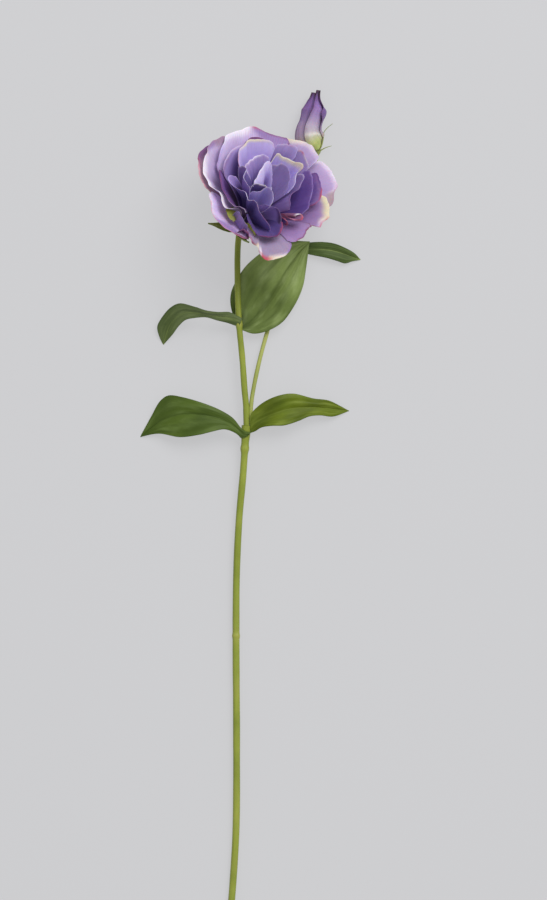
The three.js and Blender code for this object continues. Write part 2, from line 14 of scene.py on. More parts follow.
import bmesh
import bpy
import numpy as np
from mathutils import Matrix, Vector

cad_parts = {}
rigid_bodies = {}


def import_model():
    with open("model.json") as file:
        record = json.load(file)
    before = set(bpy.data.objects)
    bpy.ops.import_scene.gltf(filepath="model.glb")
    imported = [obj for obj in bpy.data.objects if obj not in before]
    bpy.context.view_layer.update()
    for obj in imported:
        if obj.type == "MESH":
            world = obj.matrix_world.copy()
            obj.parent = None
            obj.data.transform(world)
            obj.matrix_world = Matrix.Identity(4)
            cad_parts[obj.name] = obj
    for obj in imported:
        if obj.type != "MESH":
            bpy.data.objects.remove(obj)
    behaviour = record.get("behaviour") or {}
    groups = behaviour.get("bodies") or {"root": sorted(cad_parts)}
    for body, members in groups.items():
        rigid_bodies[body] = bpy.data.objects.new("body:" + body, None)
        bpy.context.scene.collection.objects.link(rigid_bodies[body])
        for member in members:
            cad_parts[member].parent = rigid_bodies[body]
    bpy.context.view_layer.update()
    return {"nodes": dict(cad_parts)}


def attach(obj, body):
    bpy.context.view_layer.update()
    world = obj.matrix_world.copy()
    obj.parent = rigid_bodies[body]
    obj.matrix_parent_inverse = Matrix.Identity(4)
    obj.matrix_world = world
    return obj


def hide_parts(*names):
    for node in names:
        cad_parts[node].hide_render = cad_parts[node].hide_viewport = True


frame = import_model()

LOG = logging.getLogger("lisianthus")
MM = 0.001
BODY = "root"
UP = np.array([0.0, 0.0, 1.0])
ABOVE_TABLE = (0.14, 0.02)  # least heights of a sheet's front and back over the table, in millimetres
WAVE_KNOTS = 512
WAVE_START = 128.0

Points = Sequence[Sequence[float]]
Knots = tuple[tuple[float, float], ...]
Stops = tuple[tuple[float, str], ...]


# ---- curves and waves ----


class Curve:
    """A smooth centripetal curve through points, read by its share of length."""

    STEPS = 24
    CLOSEST = 1e-4

    def __init__(self, points: Points) -> None:
        """Samples the curve.

        Args:
            points: the points it passes through, in millimetres.
        """
        knots = np.array(points, float)
        ends = (2 * knots[0] - knots[1], 2 * knots[-1] - knots[-2])
        knots = np.vstack([ends[0], knots, ends[1]])
        share = np.linspace(0, 1, self.STEPS, endpoint=False)[:, None]
        spans = [self._span(knots[i : i + 4], share) for i in range(len(knots) - 3)]
        self.points = np.vstack([*spans, knots[-2]])
        steps = np.linalg.norm(np.diff(self.points, axis=0), axis=1)
        self.reach = np.concatenate([[0.0], np.cumsum(steps)])
        self.length = float(self.reach[-1])

    @staticmethod
    def _span(knots: np.ndarray, share: np.ndarray) -> np.ndarray:
        """One stretch of the curve, between the second and third of four knots.

        Args:
            knots: the four knots.
            share: where on the stretch, from 0 to 1, as a column.

        Returns:
            The points there.
        """
        a, b, c = (max(float(np.linalg.norm(d)) ** 0.5, Curve.CLOSEST) for d in np.diff(knots, axis=0))
        p0, p1, p2, p3 = knots
        start = ((p1 - p0) / a - (p2 - p0) / (a + b) + (p2 - p1) / b) * b
        end = ((p2 - p1) / b - (p3 - p1) / (b + c) + (p3 - p2) / c) * b
        s2, s3 = share**2, share**3
        return (
            p1
            + start * share
            + (3 * (p2 - p1) - 2 * start - end) * s2
            + (2 * (p1 - p2) + start + end) * s3
        )

    def at(self, share: np.ndarray) -> np.ndarray:
        """The points at shares of the length, from 0 to 1."""
        want = np.asarray(share) * self.length
        return np.stack([np.interp(want, self.reach, axis) for axis in self.points.T], axis=-1)


def ramp(low: float, high: float, value: np.ndarray) -> np.ndarray:
    """A smooth step from 0 at low to 1 at high."""
    t = np.clip((value - low) / (high - low), 0, 1)
    return t * t * (3 - 2 * t)


def wave(place: np.ndarray, length: float, seed: int) -> np.ndarray:
    """Smooth noise from -1 to 1 along a line.

    Args:
        place: distances along the line.
        length: how far apart its knots are.
        seed: picks the noise.

    Returns:
        The noise at each place.
    """
    knots = np.random.default_rng(seed).uniform(-1, 1, WAVE_KNOTS)
    at = np.asarray(place) / length + WAVE_START
    low = np.floor(at).astype(int)
    t = at - low
    t = t * t * (3 - 2 * t)
    return knots[low % WAVE_KNOTS] * (1 - t) + knots[(low + 1) % WAVE_KNOTS] * t


def bezier(a: Any, b: Any, c: Any, d: Any, t: Any) -> Any:
    """The cubic curve of four values."""
    return a * (1 - t) ** 3 + 3 * b * t * (1 - t) ** 2 + 3 * c * t**2 * (1 - t) + d * t**3


def by_knots(knots: Knots, share: np.ndarray) -> np.ndarray:
    """A value along a line, given at some places on it."""
    places, values = zip(*knots)
    return np.interp(share, places, values)


# ---- colours ----


def tint(code: str) -> np.ndarray:
    """The linear colour of a six-digit sRGB code."""
    parts = np.array([int(code[i : i + 2], 16) / 255 for i in (0, 2, 4)])
    return np.where(parts <= 0.04045, parts / 12.92, ((parts + 0.055) / 1.055) ** 2.4)


def blend(a: np.ndarray, b: np.ndarray, share: np.ndarray) -> np.ndarray:
    """Goes from a colour or an image of colours a to b over the values of share."""
    share = np.asarray(share)[..., None]
    return a * (1 - share) + b * share


class Margin(Enum):
    """Colours that a petal's margin takes, or the wash inside it."""

    CREAM = "d9cdb4"
    BUTTER = "d2c9a0"
    PEARL = "e6dfea"
    SHELL = "cfc0d4"
    LILAC = "b3a3d4"
    MAUVE = "8b6fa6"
    DUSK = "957890"
    SAND = "9e898a"
    BLUSH = "e6b2be"
    PLUM = "6d4a7c"
    DUSKY = "3a2648"
    ROSE = "b87490"
    EMBER = "b04a58"
    WINE = "702c4a"
    VIOLET = "55387c"


def sheet_normals(points: np.ndarray, inward: np.ndarray) -> np.ndarray:
    """Unit normals of a grid of points.

    Args:
        points: rows and columns of points.
        inward: the direction that the normals look towards, over all, or one for each point.

    Returns:
        A normal for each point.
    """
    down = np.gradient(points, axis=0)
    over = np.gradient(points, axis=1)
    found = np.cross(down, over)
    found /= np.maximum(np.linalg.norm(found, axis=2, keepdims=True), 1e-9)
    return found if float(np.sum(found * inward)) >= 0 else -found


@dataclass
class Skin:
    """A thin closed skin about a grid of points, with what its finish reads.

    Its front looks along inward. Along and across are its own map. Values and colours are given for each
    point of the grid, or for all of the front and then all of the back.
    """

    points: np.ndarray
    thickness: np.ndarray
    inward: np.ndarray
    along: np.ndarray
    across: np.ndarray
    values: dict[str, np.ndarray] = field(default_factory=dict)
    colours: dict[str, np.ndarray] = field(default_factory=dict)

    def mesh(self, name: str) -> bpy.types.Mesh:
        """The closed mesh, in metres.

        Args:
            name: the mesh's name.

        Returns:
            A mesh with a UV map named sheet and the skin's attributes.
        """
        normals = sheet_normals(self.points, self.inward)
        half = normals * self.thickness[..., None] / 2
        sides = [self.points + half, self.points - half]
        for side, least in zip(sides, ABOVE_TABLE):
            side[..., 2] = np.maximum(side[..., 2], least)
        flat = np.concatenate([side.reshape(-1, 3) for side in sides]) * MM
        faces = self._faces(normals)
        made = bpy.data.meshes.new(name)
        made.from_pydata(flat.tolist(), [], faces.tolist())
        made.update()
        self._map(made)
        made.polygons.foreach_set("use_smooth", [True] * len(made.polygons))
        return made

    def _faces(self, normals: np.ndarray) -> np.ndarray:
        """Quads of both sides and of the edge that joins them, facing out.

        Args:
            normals: the front's normal at each point.

        Returns:
            Four vertex numbers for each quad.
        """
        rows, columns = self.thickness.shape
        at = np.arange(2 * rows * columns).reshape(2, rows, columns)
        front, back = at
        quads = [self._quads(front), self._quads(back)[:, ::-1]]
        ring = np.concatenate([front[0, :], front[1:, -1], front[-1, -2::-1], front[-2:0:-1, 0]])
        other = ring + rows * columns
        quads.append(np.stack([ring, other, np.roll(other, -1), np.roll(ring, -1)], axis=1))
        faces = np.concatenate(quads)
        row, column = rows // 2, columns // 2
        down = self.points[row + 1, column] - self.points[row, column]
        over = self.points[row, column + 1] - self.points[row, column]
        turned = np.dot(np.cross(down, over), normals[row, column]) < 0
        return faces if turned else faces[:, ::-1]

    @staticmethod
    def _quads(at: np.ndarray) -> np.ndarray:
        """The quads of one side."""
        corners = (at[:-1, :-1], at[:-1, 1:], at[1:, 1:], at[1:, :-1])
        return np.stack([c.reshape(-1) for c in corners], axis=1)

    def _map(self, made: bpy.types.Mesh) -> None:
        """Writes the UV map and the attributes.

        Args:
            made: the mesh of both sides.
        """
        pairs = np.stack([self.across.reshape(-1), self.along.reshape(-1)], axis=1)
        pairs = np.concatenate([pairs, pairs])
        corners = np.empty(len(made.loops), int)
        made.loops.foreach_get("vertex_index", corners)
        made.uv_layers.new(name="sheet").data.foreach_set("uv", pairs[corners].ravel())
        outer = np.repeat([0.0, 1.0], self.across.size)
        for name, value in {**self.values, "outer": outer}.items():
            both = value if value.size == len(outer) else np.tile(value.reshape(-1), 2)
            made.attributes.new(name, "FLOAT", "POINT").data.foreach_set("value", both)
        for name, colour in self.colours.items():
            flat = colour.reshape(-1, 3)
            both = flat if len(flat) == len(outer) else np.tile(flat, (2, 1))
            rgba = np.concatenate([both, np.ones((len(both), 1))], axis=1)
            layer = made.attributes.new(name, "FLOAT_COLOR", "POINT")
            layer.data.foreach_set("color", rgba.ravel())


def piece(mesh: bpy.types.Mesh, material: bpy.types.Material, node: str) -> bpy.types.Object:
    """Puts a finished mesh in the scene in place of its CAD node.

    Args:
        mesh: the mesh, in metres, in the row frame.
        material: its finish.
        node: the CAD node that it stands for.

    Returns:
        The new object.
    """
    mesh.materials.clear()
    mesh.materials.append(material)
    made = bpy.data.objects.new(f"{node}_fine", mesh)
    bpy.context.scene.collection.objects.link(made)
    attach(made, BODY)
    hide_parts(node)
    LOG.info("%s: %d faces", made.name, len(mesh.polygons))
    return made


# ---- shader trees ----


class Socket:
    """An output socket on which arithmetic adds Math nodes."""

    def __init__(self, tree: "Graph", socket: bpy.types.NodeSocket) -> None:
        """Wraps a socket of a tree."""
        self.tree = tree
        self.socket = socket

    def _math(self, operation: str, *values: Any) -> "Socket":
        """One Math node on these values."""
        return self.tree.node("ShaderNodeMath", {"operation": operation}, *values).out()

    def __add__(self, other: Any) -> "Socket":
        """The sum."""
        return self._math("ADD", self, other)

    __radd__ = __add__

    def __sub__(self, other: Any) -> "Socket":
        """The difference."""
        return self._math("SUBTRACT", self, other)

    def __rsub__(self, other: Any) -> "Socket":
        """The difference, the other way round."""
        return self._math("SUBTRACT", other, self)

    def __mul__(self, other: Any) -> "Socket":
        """The product."""
        return self._math("MULTIPLY", self, other)

    __rmul__ = __mul__

    def __pow__(self, other: Any) -> "Socket":
        """The power."""
        return self._math("POWER", self, other)

    def sine(self) -> "Socket":
        """The sine, of radians."""
        return self._math("SINE", self)

    def size(self) -> "Socket":
        """The value without its sign."""
        return self._math("ABSOLUTE", self)

    def step(self, low: float, high: float) -> "Socket":
        """A smooth step from 0 at low to 1 at high, or down if high is the lower."""
        settings = {"interpolation_type": "SMOOTHSTEP", "clamp": True}
        return self.tree.node("ShaderNodeMapRange", settings, self, low, high, 0.0, 1.0).out()


class Node:
    """A node whose sockets are read by name."""

    def __init__(self, tree: "Graph", node: bpy.types.Node) -> None:
        """Wraps a node of a tree."""
        self.tree = tree
        self.node = node

    def out(self, name: str | int = 0) -> Socket:
        """One of its outputs."""
        return Socket(self.tree, self.node.outputs[name])


class Graph:
    """A node tree that is written as expressions."""

    def __init__(self, tree: bpy.types.NodeTree) -> None:
        """Wraps a node tree."""
        self.nodes = tree.nodes
        self.links = tree.links

    def node(self, kind: str, settings: dict[str, Any], *values: Any, **named: Any) -> Node:
        """Adds a node.

        Args:
            kind: its type.
            settings: what is set on the node itself, first.
            values: values or links of its input sockets, in order; None leaves one as it is.
            named: values or links of sockets by name, with _ for a space.

        Returns:
            The node.
        """
        made = self.nodes.new(kind)
        for key, value in settings.items():
            setattr(made, key, value)
        pairs = [(made.inputs[i], v) for i, v in enumerate(values) if v is not None]
        pairs += [(made.inputs[key.replace("_", " ")], v) for key, v in named.items()]
        for socket, value in pairs:
            self.feed(socket, value)
        return Node(self, made)

    def feed(self, socket: bpy.types.NodeSocket, value: Any) -> None:
        """Links a wrapped socket, or sets a plain value.

        Args:
            socket: the input socket.
            value: what it takes.
        """
        if isinstance(value, Socket):
            self.links.new(value.socket, socket)
        else:
            socket.default_value = value


class Tree(Graph):
    """The nodes of one material."""

    def __init__(self, name: str) -> None:
        """Makes the material with a Principled shader.

        Args:
            name: the material's name.
        """
        self.material = bpy.data.materials.new(name)
        self.material.use_nodes = True
        super().__init__(self.material.node_tree)
        self.shader = self.nodes["Principled BSDF"]

    def read(self, name: str, output: str = "Fac") -> Socket:
        """An attribute of the mesh."""
        return self.node("ShaderNodeAttribute", {"attribute_name": name}).out(output)

    def sheet(self) -> tuple[Socket, Socket]:
        """The coordinates of the piece's own map.

        Returns:
            Across and along.
        """
        mapped = self.node("ShaderNodeUVMap", {"uv_map": "sheet"}).out()
        split = self.node("ShaderNodeSeparateXYZ", {}, mapped)
        return split.out("X"), split.out("Y")

    def point(self, x: Any, y: Any, z: Any = 0.0) -> Socket:
        """A vector from its three parts."""
        return self.node("ShaderNodeCombineXYZ", {}, x, y, z).out()

    def cloud(self, size_mm: float, detail: float = 3.0, at: Socket | None = None) -> Socket:
        """Noise from 0 to 1.

        Args:
            size_mm: the size of its features.
            detail: how much finer detail it has.
            at: where it is read, in millimetres; the object's own coordinates when not given.

        Returns:
            The noise.
        """
        if at is None:
            at = self.node("ShaderNodeTexCoord", {}).out("Object")
            scale = 1 / (size_mm * MM)
        else:
            scale = 1 / size_mm
        settings = {"noise_dimensions": "3D"}
        made = self.node("ShaderNodeTexNoise", settings, Vector=at, Scale=scale, Detail=detail)
        return made.out("Fac")

    def mix(self, share: Any, a: Any, b: Any) -> Socket:
        """Mixes two colours.

        Args:
            share: how much of the second colour there is, from 0 to 1.
            a: the first colour.
            b: the second colour.

        Returns:
            The mixed colour.
        """
        made = self.nodes.new("ShaderNodeMix")
        made.data_type = "RGBA"
        made.clamp_factor = True
        colour = [s for s in made.inputs if s.type == "RGBA"]
        self.feed(made.inputs[0], share)
        self.feed(colour[0], self._rgba(a))
        self.feed(colour[1], self._rgba(b))
        return Socket(self, next(s for s in made.outputs if s.type == "RGBA"))

    def shade(self, colour: Socket, factor: Socket) -> Socket:
        """A colour made lighter or darker by a factor."""
        scaled = self.node("ShaderNodeVectorMath", {"operation": "SCALE"}, colour, Scale=factor)
        return scaled.out("Vector")

    def bump(self, height: Socket, depth_mm: float) -> None:
        """Drives the normal from a height of 0 to 1 that stands for depth_mm."""
        made = self.node("ShaderNodeBump", {}, Strength=1.0, Distance=depth_mm * MM, Height=height)
        self.feed(self.shader.inputs["Normal"], made.out())

    def constants(self, **values: Any) -> None:
        """Sets values that are the same all over, on the shader's own sockets."""
        for key, value in values.items():
            self.shader.inputs[key.replace("_", " ")].default_value = value

    @staticmethod
    def _rgba(value: Any) -> Any:
        """A colour with its fourth part, or a link as it is."""
        return value if isinstance(value, Socket) else (*[float(v) for v in value[:3]], 1.0)


# ---- finishes ----


@dataclass(frozen=True)
class PetalFinish:
    """A velvety petal: its tones and margin are on the mesh, and it has fine fanning veins.

    Its own colour also glows a little, as much as through says: a painted glow that stands in for the
    light that shines through its thin flesh. Flush is a pinker tone that comes in patches, and ragged is
    how unevenly the margin's colour ends.
    """

    name: str
    veins: int = 46
    vein_depth: float = 0.16
    vein_wander: float = 0.02
    roughness: float = 0.62
    sheen: float = 0.04
    # painted glow: how strongly the petal's own colour is emitted, in place of light shining through it
    through: float = 0.1
    flush: str = "9a78b8"
    flush_share: float = 0.22
    cloudiness: float = 0.34
    grain: float = 0.16
    ragged: float = 0.7
    margin_reach: float = 1.7
    bare_margin: float = 0.55
    relief_mm: float = 0.06

    def make(self) -> bpy.types.Material:
        """Builds the finish.

        Returns:
            Its material.
        """
        tree = Tree(self.name)
        across, along = tree.sheet()
        drift = tree.cloud(7.0, 2.0) - 0.5
        strand = ((across + drift * self.vein_wander) * (self.veins * math.pi)).sine().size()
        vein = (1 - strand) ** 3.0
        grain = tree.cloud(1.0, 4.0, tree.point(across * 60, along * 6))
        cloud = tree.cloud(9.0, 3.0)
        light = 1 + (cloud - 0.5) * self.cloudiness + (grain - 0.5) * self.grain - vein * self.vein_depth
        colour = tree.shade(tree.read("tone", "Color"), light)
        patches = tree.cloud(14.0, 2.0).step(0.45, 0.75)
        colour = tree.mix(patches * self.flush_share, colour, tint(self.flush))
        edge = tree.read("edge") + (tree.cloud(2.4, 3.0) - 0.5) * self.ragged
        worn = self.bare_margin + tree.cloud(5.0, 2.0).step(0.38, 0.6) * (1 - self.bare_margin)
        rim = tree.read("rim_share") * edge.step(self.margin_reach, 0.0) * worn
        colour = tree.mix(rim, colour, tree.read("margin", "Color"))
        tree.feed(tree.shader.inputs["Base Color"], colour)
        # painted glow: the petal's colour is also emitted, standing in for light that shines through its
        # flesh
        tree.feed(tree.shader.inputs["Emission Color"], colour)
        tree.feed(tree.shader.inputs["Roughness"], self.roughness + (grain - 0.5) * 0.18)
        tree.bump(grain * 0.6 - vein * 0.7 + tree.cloud(0.5, 2.0) * 0.3, self.relief_mm)
        tree.constants(Sheen_Weight=self.sheen, Sheen_Roughness=0.5, Specular_IOR_Level=0.18)
        tree.constants(Subsurface_Weight=0.12, Subsurface_Scale=0.0012, Emission_Strength=self.through)
        return tree.material


@dataclass(frozen=True)
class LeafFinish:
    """A satin leaf with a midrib, and pale streaks and dusky ones that run from its base to its tip.

    Where the mesh says lift the leaf is lighter and its pale streaks are stronger. Lift holds random
    patches, and on the broad leaf painted light and shade. Groove is the midrib's colour, and under the
    underside's; where the groove is darker than the blade it is a painted shadow along the midrib. Streak
    and shade are how strong the pale and the dusky streaks are.
    """

    name: str
    blade: str = "4f6424"
    deep: str = "33451a"
    light: str = "75883c"
    vein: str = "93a45c"
    under: str = "7d8f56"
    groove: str = "93a45c"
    streak: float = 0.35
    shade: float = 0.0
    roughness: float = 0.56
    relief_mm: float = 0.05

    def make(self) -> bpy.types.Material:
        """Builds the finish.

        Returns:
            Its material.
        """
        tree = Tree(self.name)
        across, along = tree.sheet()
        lift = tree.read("lift")
        grain = tree.cloud(1.0, 3.0, tree.point(across * 22, along * 6))
        cells = tree.cloud(0.45, 2.0)
        colour = tree.mix(tree.cloud(11.0, 3.0).step(0.3, 0.72), tint(self.deep), tint(self.blade))
        # lift lightens the leaf: random patches, and on the broad leaf painted light and shade
        colour = tree.mix(lift * 0.8, colour, tint(self.light))
        pale = tree.cloud(1.0, 2.0, tree.point(across * 2.6, along * 0.8)).step(0.42, 0.7)
        colour = tree.mix(pale * self.streak * (0.25 + lift * 0.95), colour, tint(self.vein))
        dusky = tree.cloud(1.0, 2.0, tree.point(across * 3.4 + 5.0, along * 0.3)).step(0.45, 0.7)
        colour = tree.mix(dusky * self.shade, colour, tint(self.deep) * 0.8)
        broken = 0.25 + tree.cloud(9.0, 2.0).step(0.35, 0.65) * 0.55
        # the midrib's colour; on the dark and broad leaves it is a painted shadow along the groove
        colour = tree.mix(tree.read("rib") * broken, colour, tint(self.groove))
        colour = tree.mix(tree.read("outer") * 0.55, colour, tint(self.under))
        colour = tree.shade(colour, 1 + (grain - 0.5) * 0.22 + (cells - 0.5) * 0.14)
        tree.feed(tree.shader.inputs["Base Color"], colour)
        tree.feed(tree.shader.inputs["Roughness"], self.roughness + (grain - 0.5) * 0.2)
        tree.bump(grain * 0.5 + cells * 0.5, self.relief_mm)
        tree.constants(Specular_IOR_Level=0.2)
        return tree.material


@dataclass(frozen=True)
class StalkFinish:
    """A smooth green stalk with fine lengthways fibres, lighter and yellower in places."""

    name: str
    green: str = "909a36"
    dark: str = "7f8b2b"
    yellow: str = "a2a448"
    roughness: float = 0.46
    fibres: float = 16.0
    relief_mm: float = 0.08

    def make(self) -> bpy.types.Material:
        """Builds the finish.

        Returns:
            Its material.
        """
        tree = Tree(self.name)
        around, along = tree.read("around"), tree.read("along")
        fibre = tree.cloud(1.0, 3.0, tree.point(around * self.fibres, along * 0.12))
        colour = tree.mix(tree.cloud(16.0, 3.0).step(0.3, 0.7), tint(self.dark), tint(self.green))
        colour = tree.mix(tree.cloud(30.0, 2.0).step(0.5, 0.75) * 0.6, colour, tint(self.yellow))
        colour = tree.mix(tree.read("joint") * 0.75, colour, tint(self.yellow))
        colour = tree.shade(colour, 1 + (fibre - 0.5) * 0.3)
        tree.feed(tree.shader.inputs["Base Color"], colour)
        tree.feed(tree.shader.inputs["Roughness"], self.roughness + (fibre - 0.5) * 0.15)
        tree.bump(fibre, self.relief_mm)
        tree.constants(Specular_IOR_Level=0.4, Subsurface_Weight=0.05, Subsurface_Scale=0.001)
        return tree.material


@dataclass(frozen=True)
class FloorFinish:
    """A plain pale table that glows a little, so that shadows on it stay faint."""

    name: str = "pale_table"
    pale: str = "d0d0d2"
    diffuse: float = 0.22
    glow: float = 0.76
    grain_mm: float = 60.0
    uneven: float = 1.02

    def make(self) -> bpy.types.Material:
        """Builds the finish.

        Returns:
            Its material.
        """
        tree = Tree(self.name)
        plain = tint(self.pale) * self.diffuse
        colour = tree.mix(tree.cloud(self.grain_mm, 2.0), plain, plain * self.uneven)
        tree.feed(tree.shader.inputs["Base Color"], colour)
        tree.constants(Roughness=0.9, Specular_IOR_Level=0.0, Emission_Strength=self.glow)
        tree.constants(Emission_Color=(*tint(self.pale), 1.0))
        return tree.material


# ---- the maker's frame ----


@dataclass(frozen=True)
class BloomFrame:
    """Where the bloom's petals spring from and which way it faces.

    Foot is the height of the receptacle's foot over the base. Its points are read up to foot_depth more.
    """

    base: tuple[float, float, float] = (-6.0, 151.8, 10.0)
    facing: tuple[float, float, float] = (0.364, 0.471, 0.803)
    foot: float = 0.3
    foot_depth: float = 0.1

    @property
    def axis(self) -> np.ndarray:
        """The direction that the bloom faces."""
        return np.array(self.facing) / np.linalg.norm(self.facing)

    @property
    def low_side(self) -> np.ndarray:
        """Across the axis, towards the table."""
        return np.cross(self.across, self.axis)

    @property
    def across(self) -> np.ndarray:
        """Across the axis, level."""
        level = np.array([-self.facing[1], self.facing[0], 0.0])
        return level / np.linalg.norm(level)

    def about(self, radius: np.ndarray, turn: float, height: np.ndarray) -> np.ndarray:
        """Points about the axis.

        Args:
            radius: how far each is from the axis.
            turn: the direction in which they are, in degrees from the low side.
            height: how high each is along the axis.

        Returns:
            The points.
        """
        a = math.radians(turn)
        out = self.low_side * math.cos(a) + self.across * math.sin(a)
        return np.array(self.base) + radius[..., None] * out + height[..., None] * self.axis

    def from_plan(self, places: Points) -> np.ndarray:
        """Points that are given in plan.

        Args:
            places: for each, its plan about the base and its height along the axis.

        Returns:
            The points.
        """
        x, y, height = np.array(places, float).T
        a = self.axis
        z = (height - a[0] * x - a[1] * y) / a[2]
        return np.stack([x, y, z], axis=1) + np.array(self.base)

    def shift(self) -> np.ndarray:
        """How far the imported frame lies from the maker's frame, found at the receptacle's foot.

        Returns:
            The shift in millimetres.
        """
        mesh = frame["nodes"]["receptacle"].data
        co = np.array([v.co for v in mesh.vertices]) / MM
        height = co @ self.axis
        ring = co[height < height.min() + self.foot_depth]
        foot = (ring.min(axis=0) + ring.max(axis=0)) / 2
        return foot - self.foot * self.axis - np.array(self.base)


BLOOM = BloomFrame()
SHIFT = BLOOM.shift()


def placed(points: np.ndarray) -> np.ndarray:
    """Points of the maker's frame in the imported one, in millimetres."""
    return points + SHIFT


# ---- sweeps along a path ----


@dataclass(frozen=True)
class Strand:
    """A path with the radius of what is swept along it."""

    points: Points
    radius: Callable[[np.ndarray], np.ndarray]
    steps: int


class Sweep:
    """A Geometry Nodes tree that sweeps a ridged round along every path of its object."""

    INPUTS = (
        ("Sides", "NodeSocketInt", 24),
        ("Ridges", "NodeSocketInt", 5),
        ("Ridge depth", "NodeSocketFloat", 0.03),
        ("Finish", "NodeSocketMaterial", None),
    )

    def __init__(self) -> None:
        """Builds the tree."""
        self.tree = bpy.data.node_groups.new("stalk_sweep", "GeometryNodeTree")
        face = self.tree.interface
        face.new_socket("Geometry", in_out="OUTPUT", socket_type="NodeSocketGeometry")
        face.new_socket("Path", in_out="INPUT", socket_type="NodeSocketGeometry")
        self.ids: dict[str, str] = {}
        for name, kind, value in self.INPUTS:
            socket = face.new_socket(name, in_out="INPUT", socket_type=kind)
            if value is not None:
                socket.default_value = value
            self.ids[name] = socket.identifier
        graph = Graph(self.tree)
        given = graph.node("NodeGroupInput", {})
        round_ = self._round(graph, given)
        swept = self._swept(graph, given, round_)
        smooth = graph.node("GeometryNodeSetShadeSmooth", {}, Geometry=swept).out()
        real = graph.node("GeometryNodeRealizeInstances", {}, Geometry=smooth).out()
        dressed = graph.node("GeometryNodeSetMaterial", {}, Geometry=real, Material=given.out("Finish"))
        graph.node("NodeGroupOutput", {}, dressed.out())

    @staticmethod
    def _named(graph: Graph, shape: Socket, name: str, value: Socket) -> Socket:
        """A shape that keeps a value at each of its points."""
        kept = {"data_type": "FLOAT", "domain": "POINT"}
        return graph.node("GeometryNodeStoreNamedAttribute", kept, shape, None, name, value).out()

    def _round(self, graph: Graph, given: Node) -> Socket:
        """The section: a circle with ridges, that keeps its share around.

        Args:
            graph: the tree to add to.
            given: the tree's inputs.

        Returns:
            The section.
        """
        sides = given.out("Sides")
        circle = graph.node("GeometryNodeCurvePrimitiveCircle", {}, Resolution=sides, Radius=1.0).out()
        share = graph.node("GeometryNodeSplineParameter", {}).out("Factor")
        turns = share * given.out("Ridges") * (2 * math.pi)
        grow = 1 + turns.sine() * given.out("Ridge depth")
        place = graph.node("GeometryNodeInputPosition", {}).out()
        moved = graph.node("ShaderNodeVectorMath", {"operation": "SCALE"}, place, Scale=grow).out()
        named = self._named(graph, circle, "around", share)
        return graph.node("GeometryNodeSetPosition", {}, named, None, moved).out()

    def _swept(self, graph: Graph, given: Node, section: Socket) -> Socket:
        """The section swept along the paths, which keep their length so far.

        Args:
            graph: the tree to add to.
            given: the tree's inputs.
            section: the section.

        Returns:
            The swept shape.
        """
        length = graph.node("GeometryNodeSplineParameter", {}).out("Length")
        path = self._named(graph, given.out("Path"), "along", length)
        radius = graph.node("GeometryNodeInputRadius", {}).out()
        ends = {"Curve": path, "Profile_Curve": section, "Scale": radius, "Fill_Caps": True}
        return graph.node("GeometryNodeCurveToMesh", {}, **ends).out()

    def mesh(
        self, name: str, strands: Sequence[Strand], finish: bpy.types.Material, **inputs: Any
    ) -> bpy.types.Mesh:
        """The swept mesh of some strands.

        Args:
            name: the mesh's name.
            strands: the paths.
            finish: the material that the tree sets.
            inputs: values of the tree's other inputs, with _ for a space.

        Returns:
            A plain closed mesh in metres, with the attributes around and along, along in millimetres.
        """
        curve = bpy.data.curves.new(name, "CURVE")
        curve.dimensions = "3D"
        for strand in strands:
            share = np.linspace(0, 1, strand.steps + 1)
            points = placed(Curve(strand.points).at(share)) * MM
            spline = curve.splines.new("POLY")
            spline.points.add(len(share) - 1)
            four = np.concatenate([points, np.ones((len(share), 1))], axis=1)
            spline.points.foreach_set("co", four.ravel())
            spline.points.foreach_set("radius", strand.radius(share) * MM)
        holder = bpy.data.objects.new(name, curve)
        bpy.context.scene.collection.objects.link(holder)
        modifier = holder.modifiers.new("sweep", "NODES")
        modifier.node_group = self.tree
        modifier[self.ids["Finish"]] = finish
        for key, value in inputs.items():
            modifier[self.ids[key.replace("_", " ")]] = value
        graph = bpy.context.evaluated_depsgraph_get()
        made = bpy.data.meshes.new_from_object(holder.evaluated_get(graph), depsgraph=graph)
        made.name = name
        holder.modifiers.remove(modifier)
        bpy.data.objects.remove(holder)
        bpy.data.curves.remove(curve)
        along = read_values(made, "along") / MM
        made.attributes["along"].data.foreach_set("value", along)
        return made


def read_values(mesh: bpy.types.Mesh, name: str) -> np.ndarray:
    """Reads a point attribute.

    Args:
        mesh: the mesh.
        name: the attribute's name.

    Returns:
        Its value at each point.
    """
    found = np.zeros(len(mesh.vertices), np.float32)
    mesh.attributes[name].data.foreach_get("value", found)
    return found


def write_values(mesh: bpy.types.Mesh, name: str, values: np.ndarray) -> None:
    """Adds a point attribute."""
    layer = mesh.attributes.new(name, "FLOAT", "POINT")
    layer.data.foreach_set("value", np.asarray(values, np.float32))


def joined(name: str, meshes: Sequence[bpy.types.Mesh]) -> bpy.types.Mesh:
    """Several meshes as one, which keeps their attributes.

    Args:
        name: the name of the objects that hold them meanwhile.
        meshes: the meshes; the first takes in the others.

    Returns:
        The first mesh.
    """
    parts = [bpy.data.objects.new(name, mesh) for mesh in meshes]
    for part in parts:
        bpy.context.scene.collection.objects.link(part)
    with bpy.context.temp_override(
        active_object=parts[0], object=parts[0], selected_objects=parts, selected_editable_objects=parts
    ):
        bpy.ops.object.join()
    made = parts[0].data
    bpy.data.objects.remove(parts[0])
    return made


# ---- stalks ----


@dataclass(frozen=True)
class Bump:
    """A swelling of a stalk at a share of its length."""

    at: float
    width: float
    height: float

    def grown(self, share: np.ndarray) -> np.ndarray:
        """What it adds to the radius."""
        return self.height * np.exp(-(((share - self.at) / self.width) ** 2))


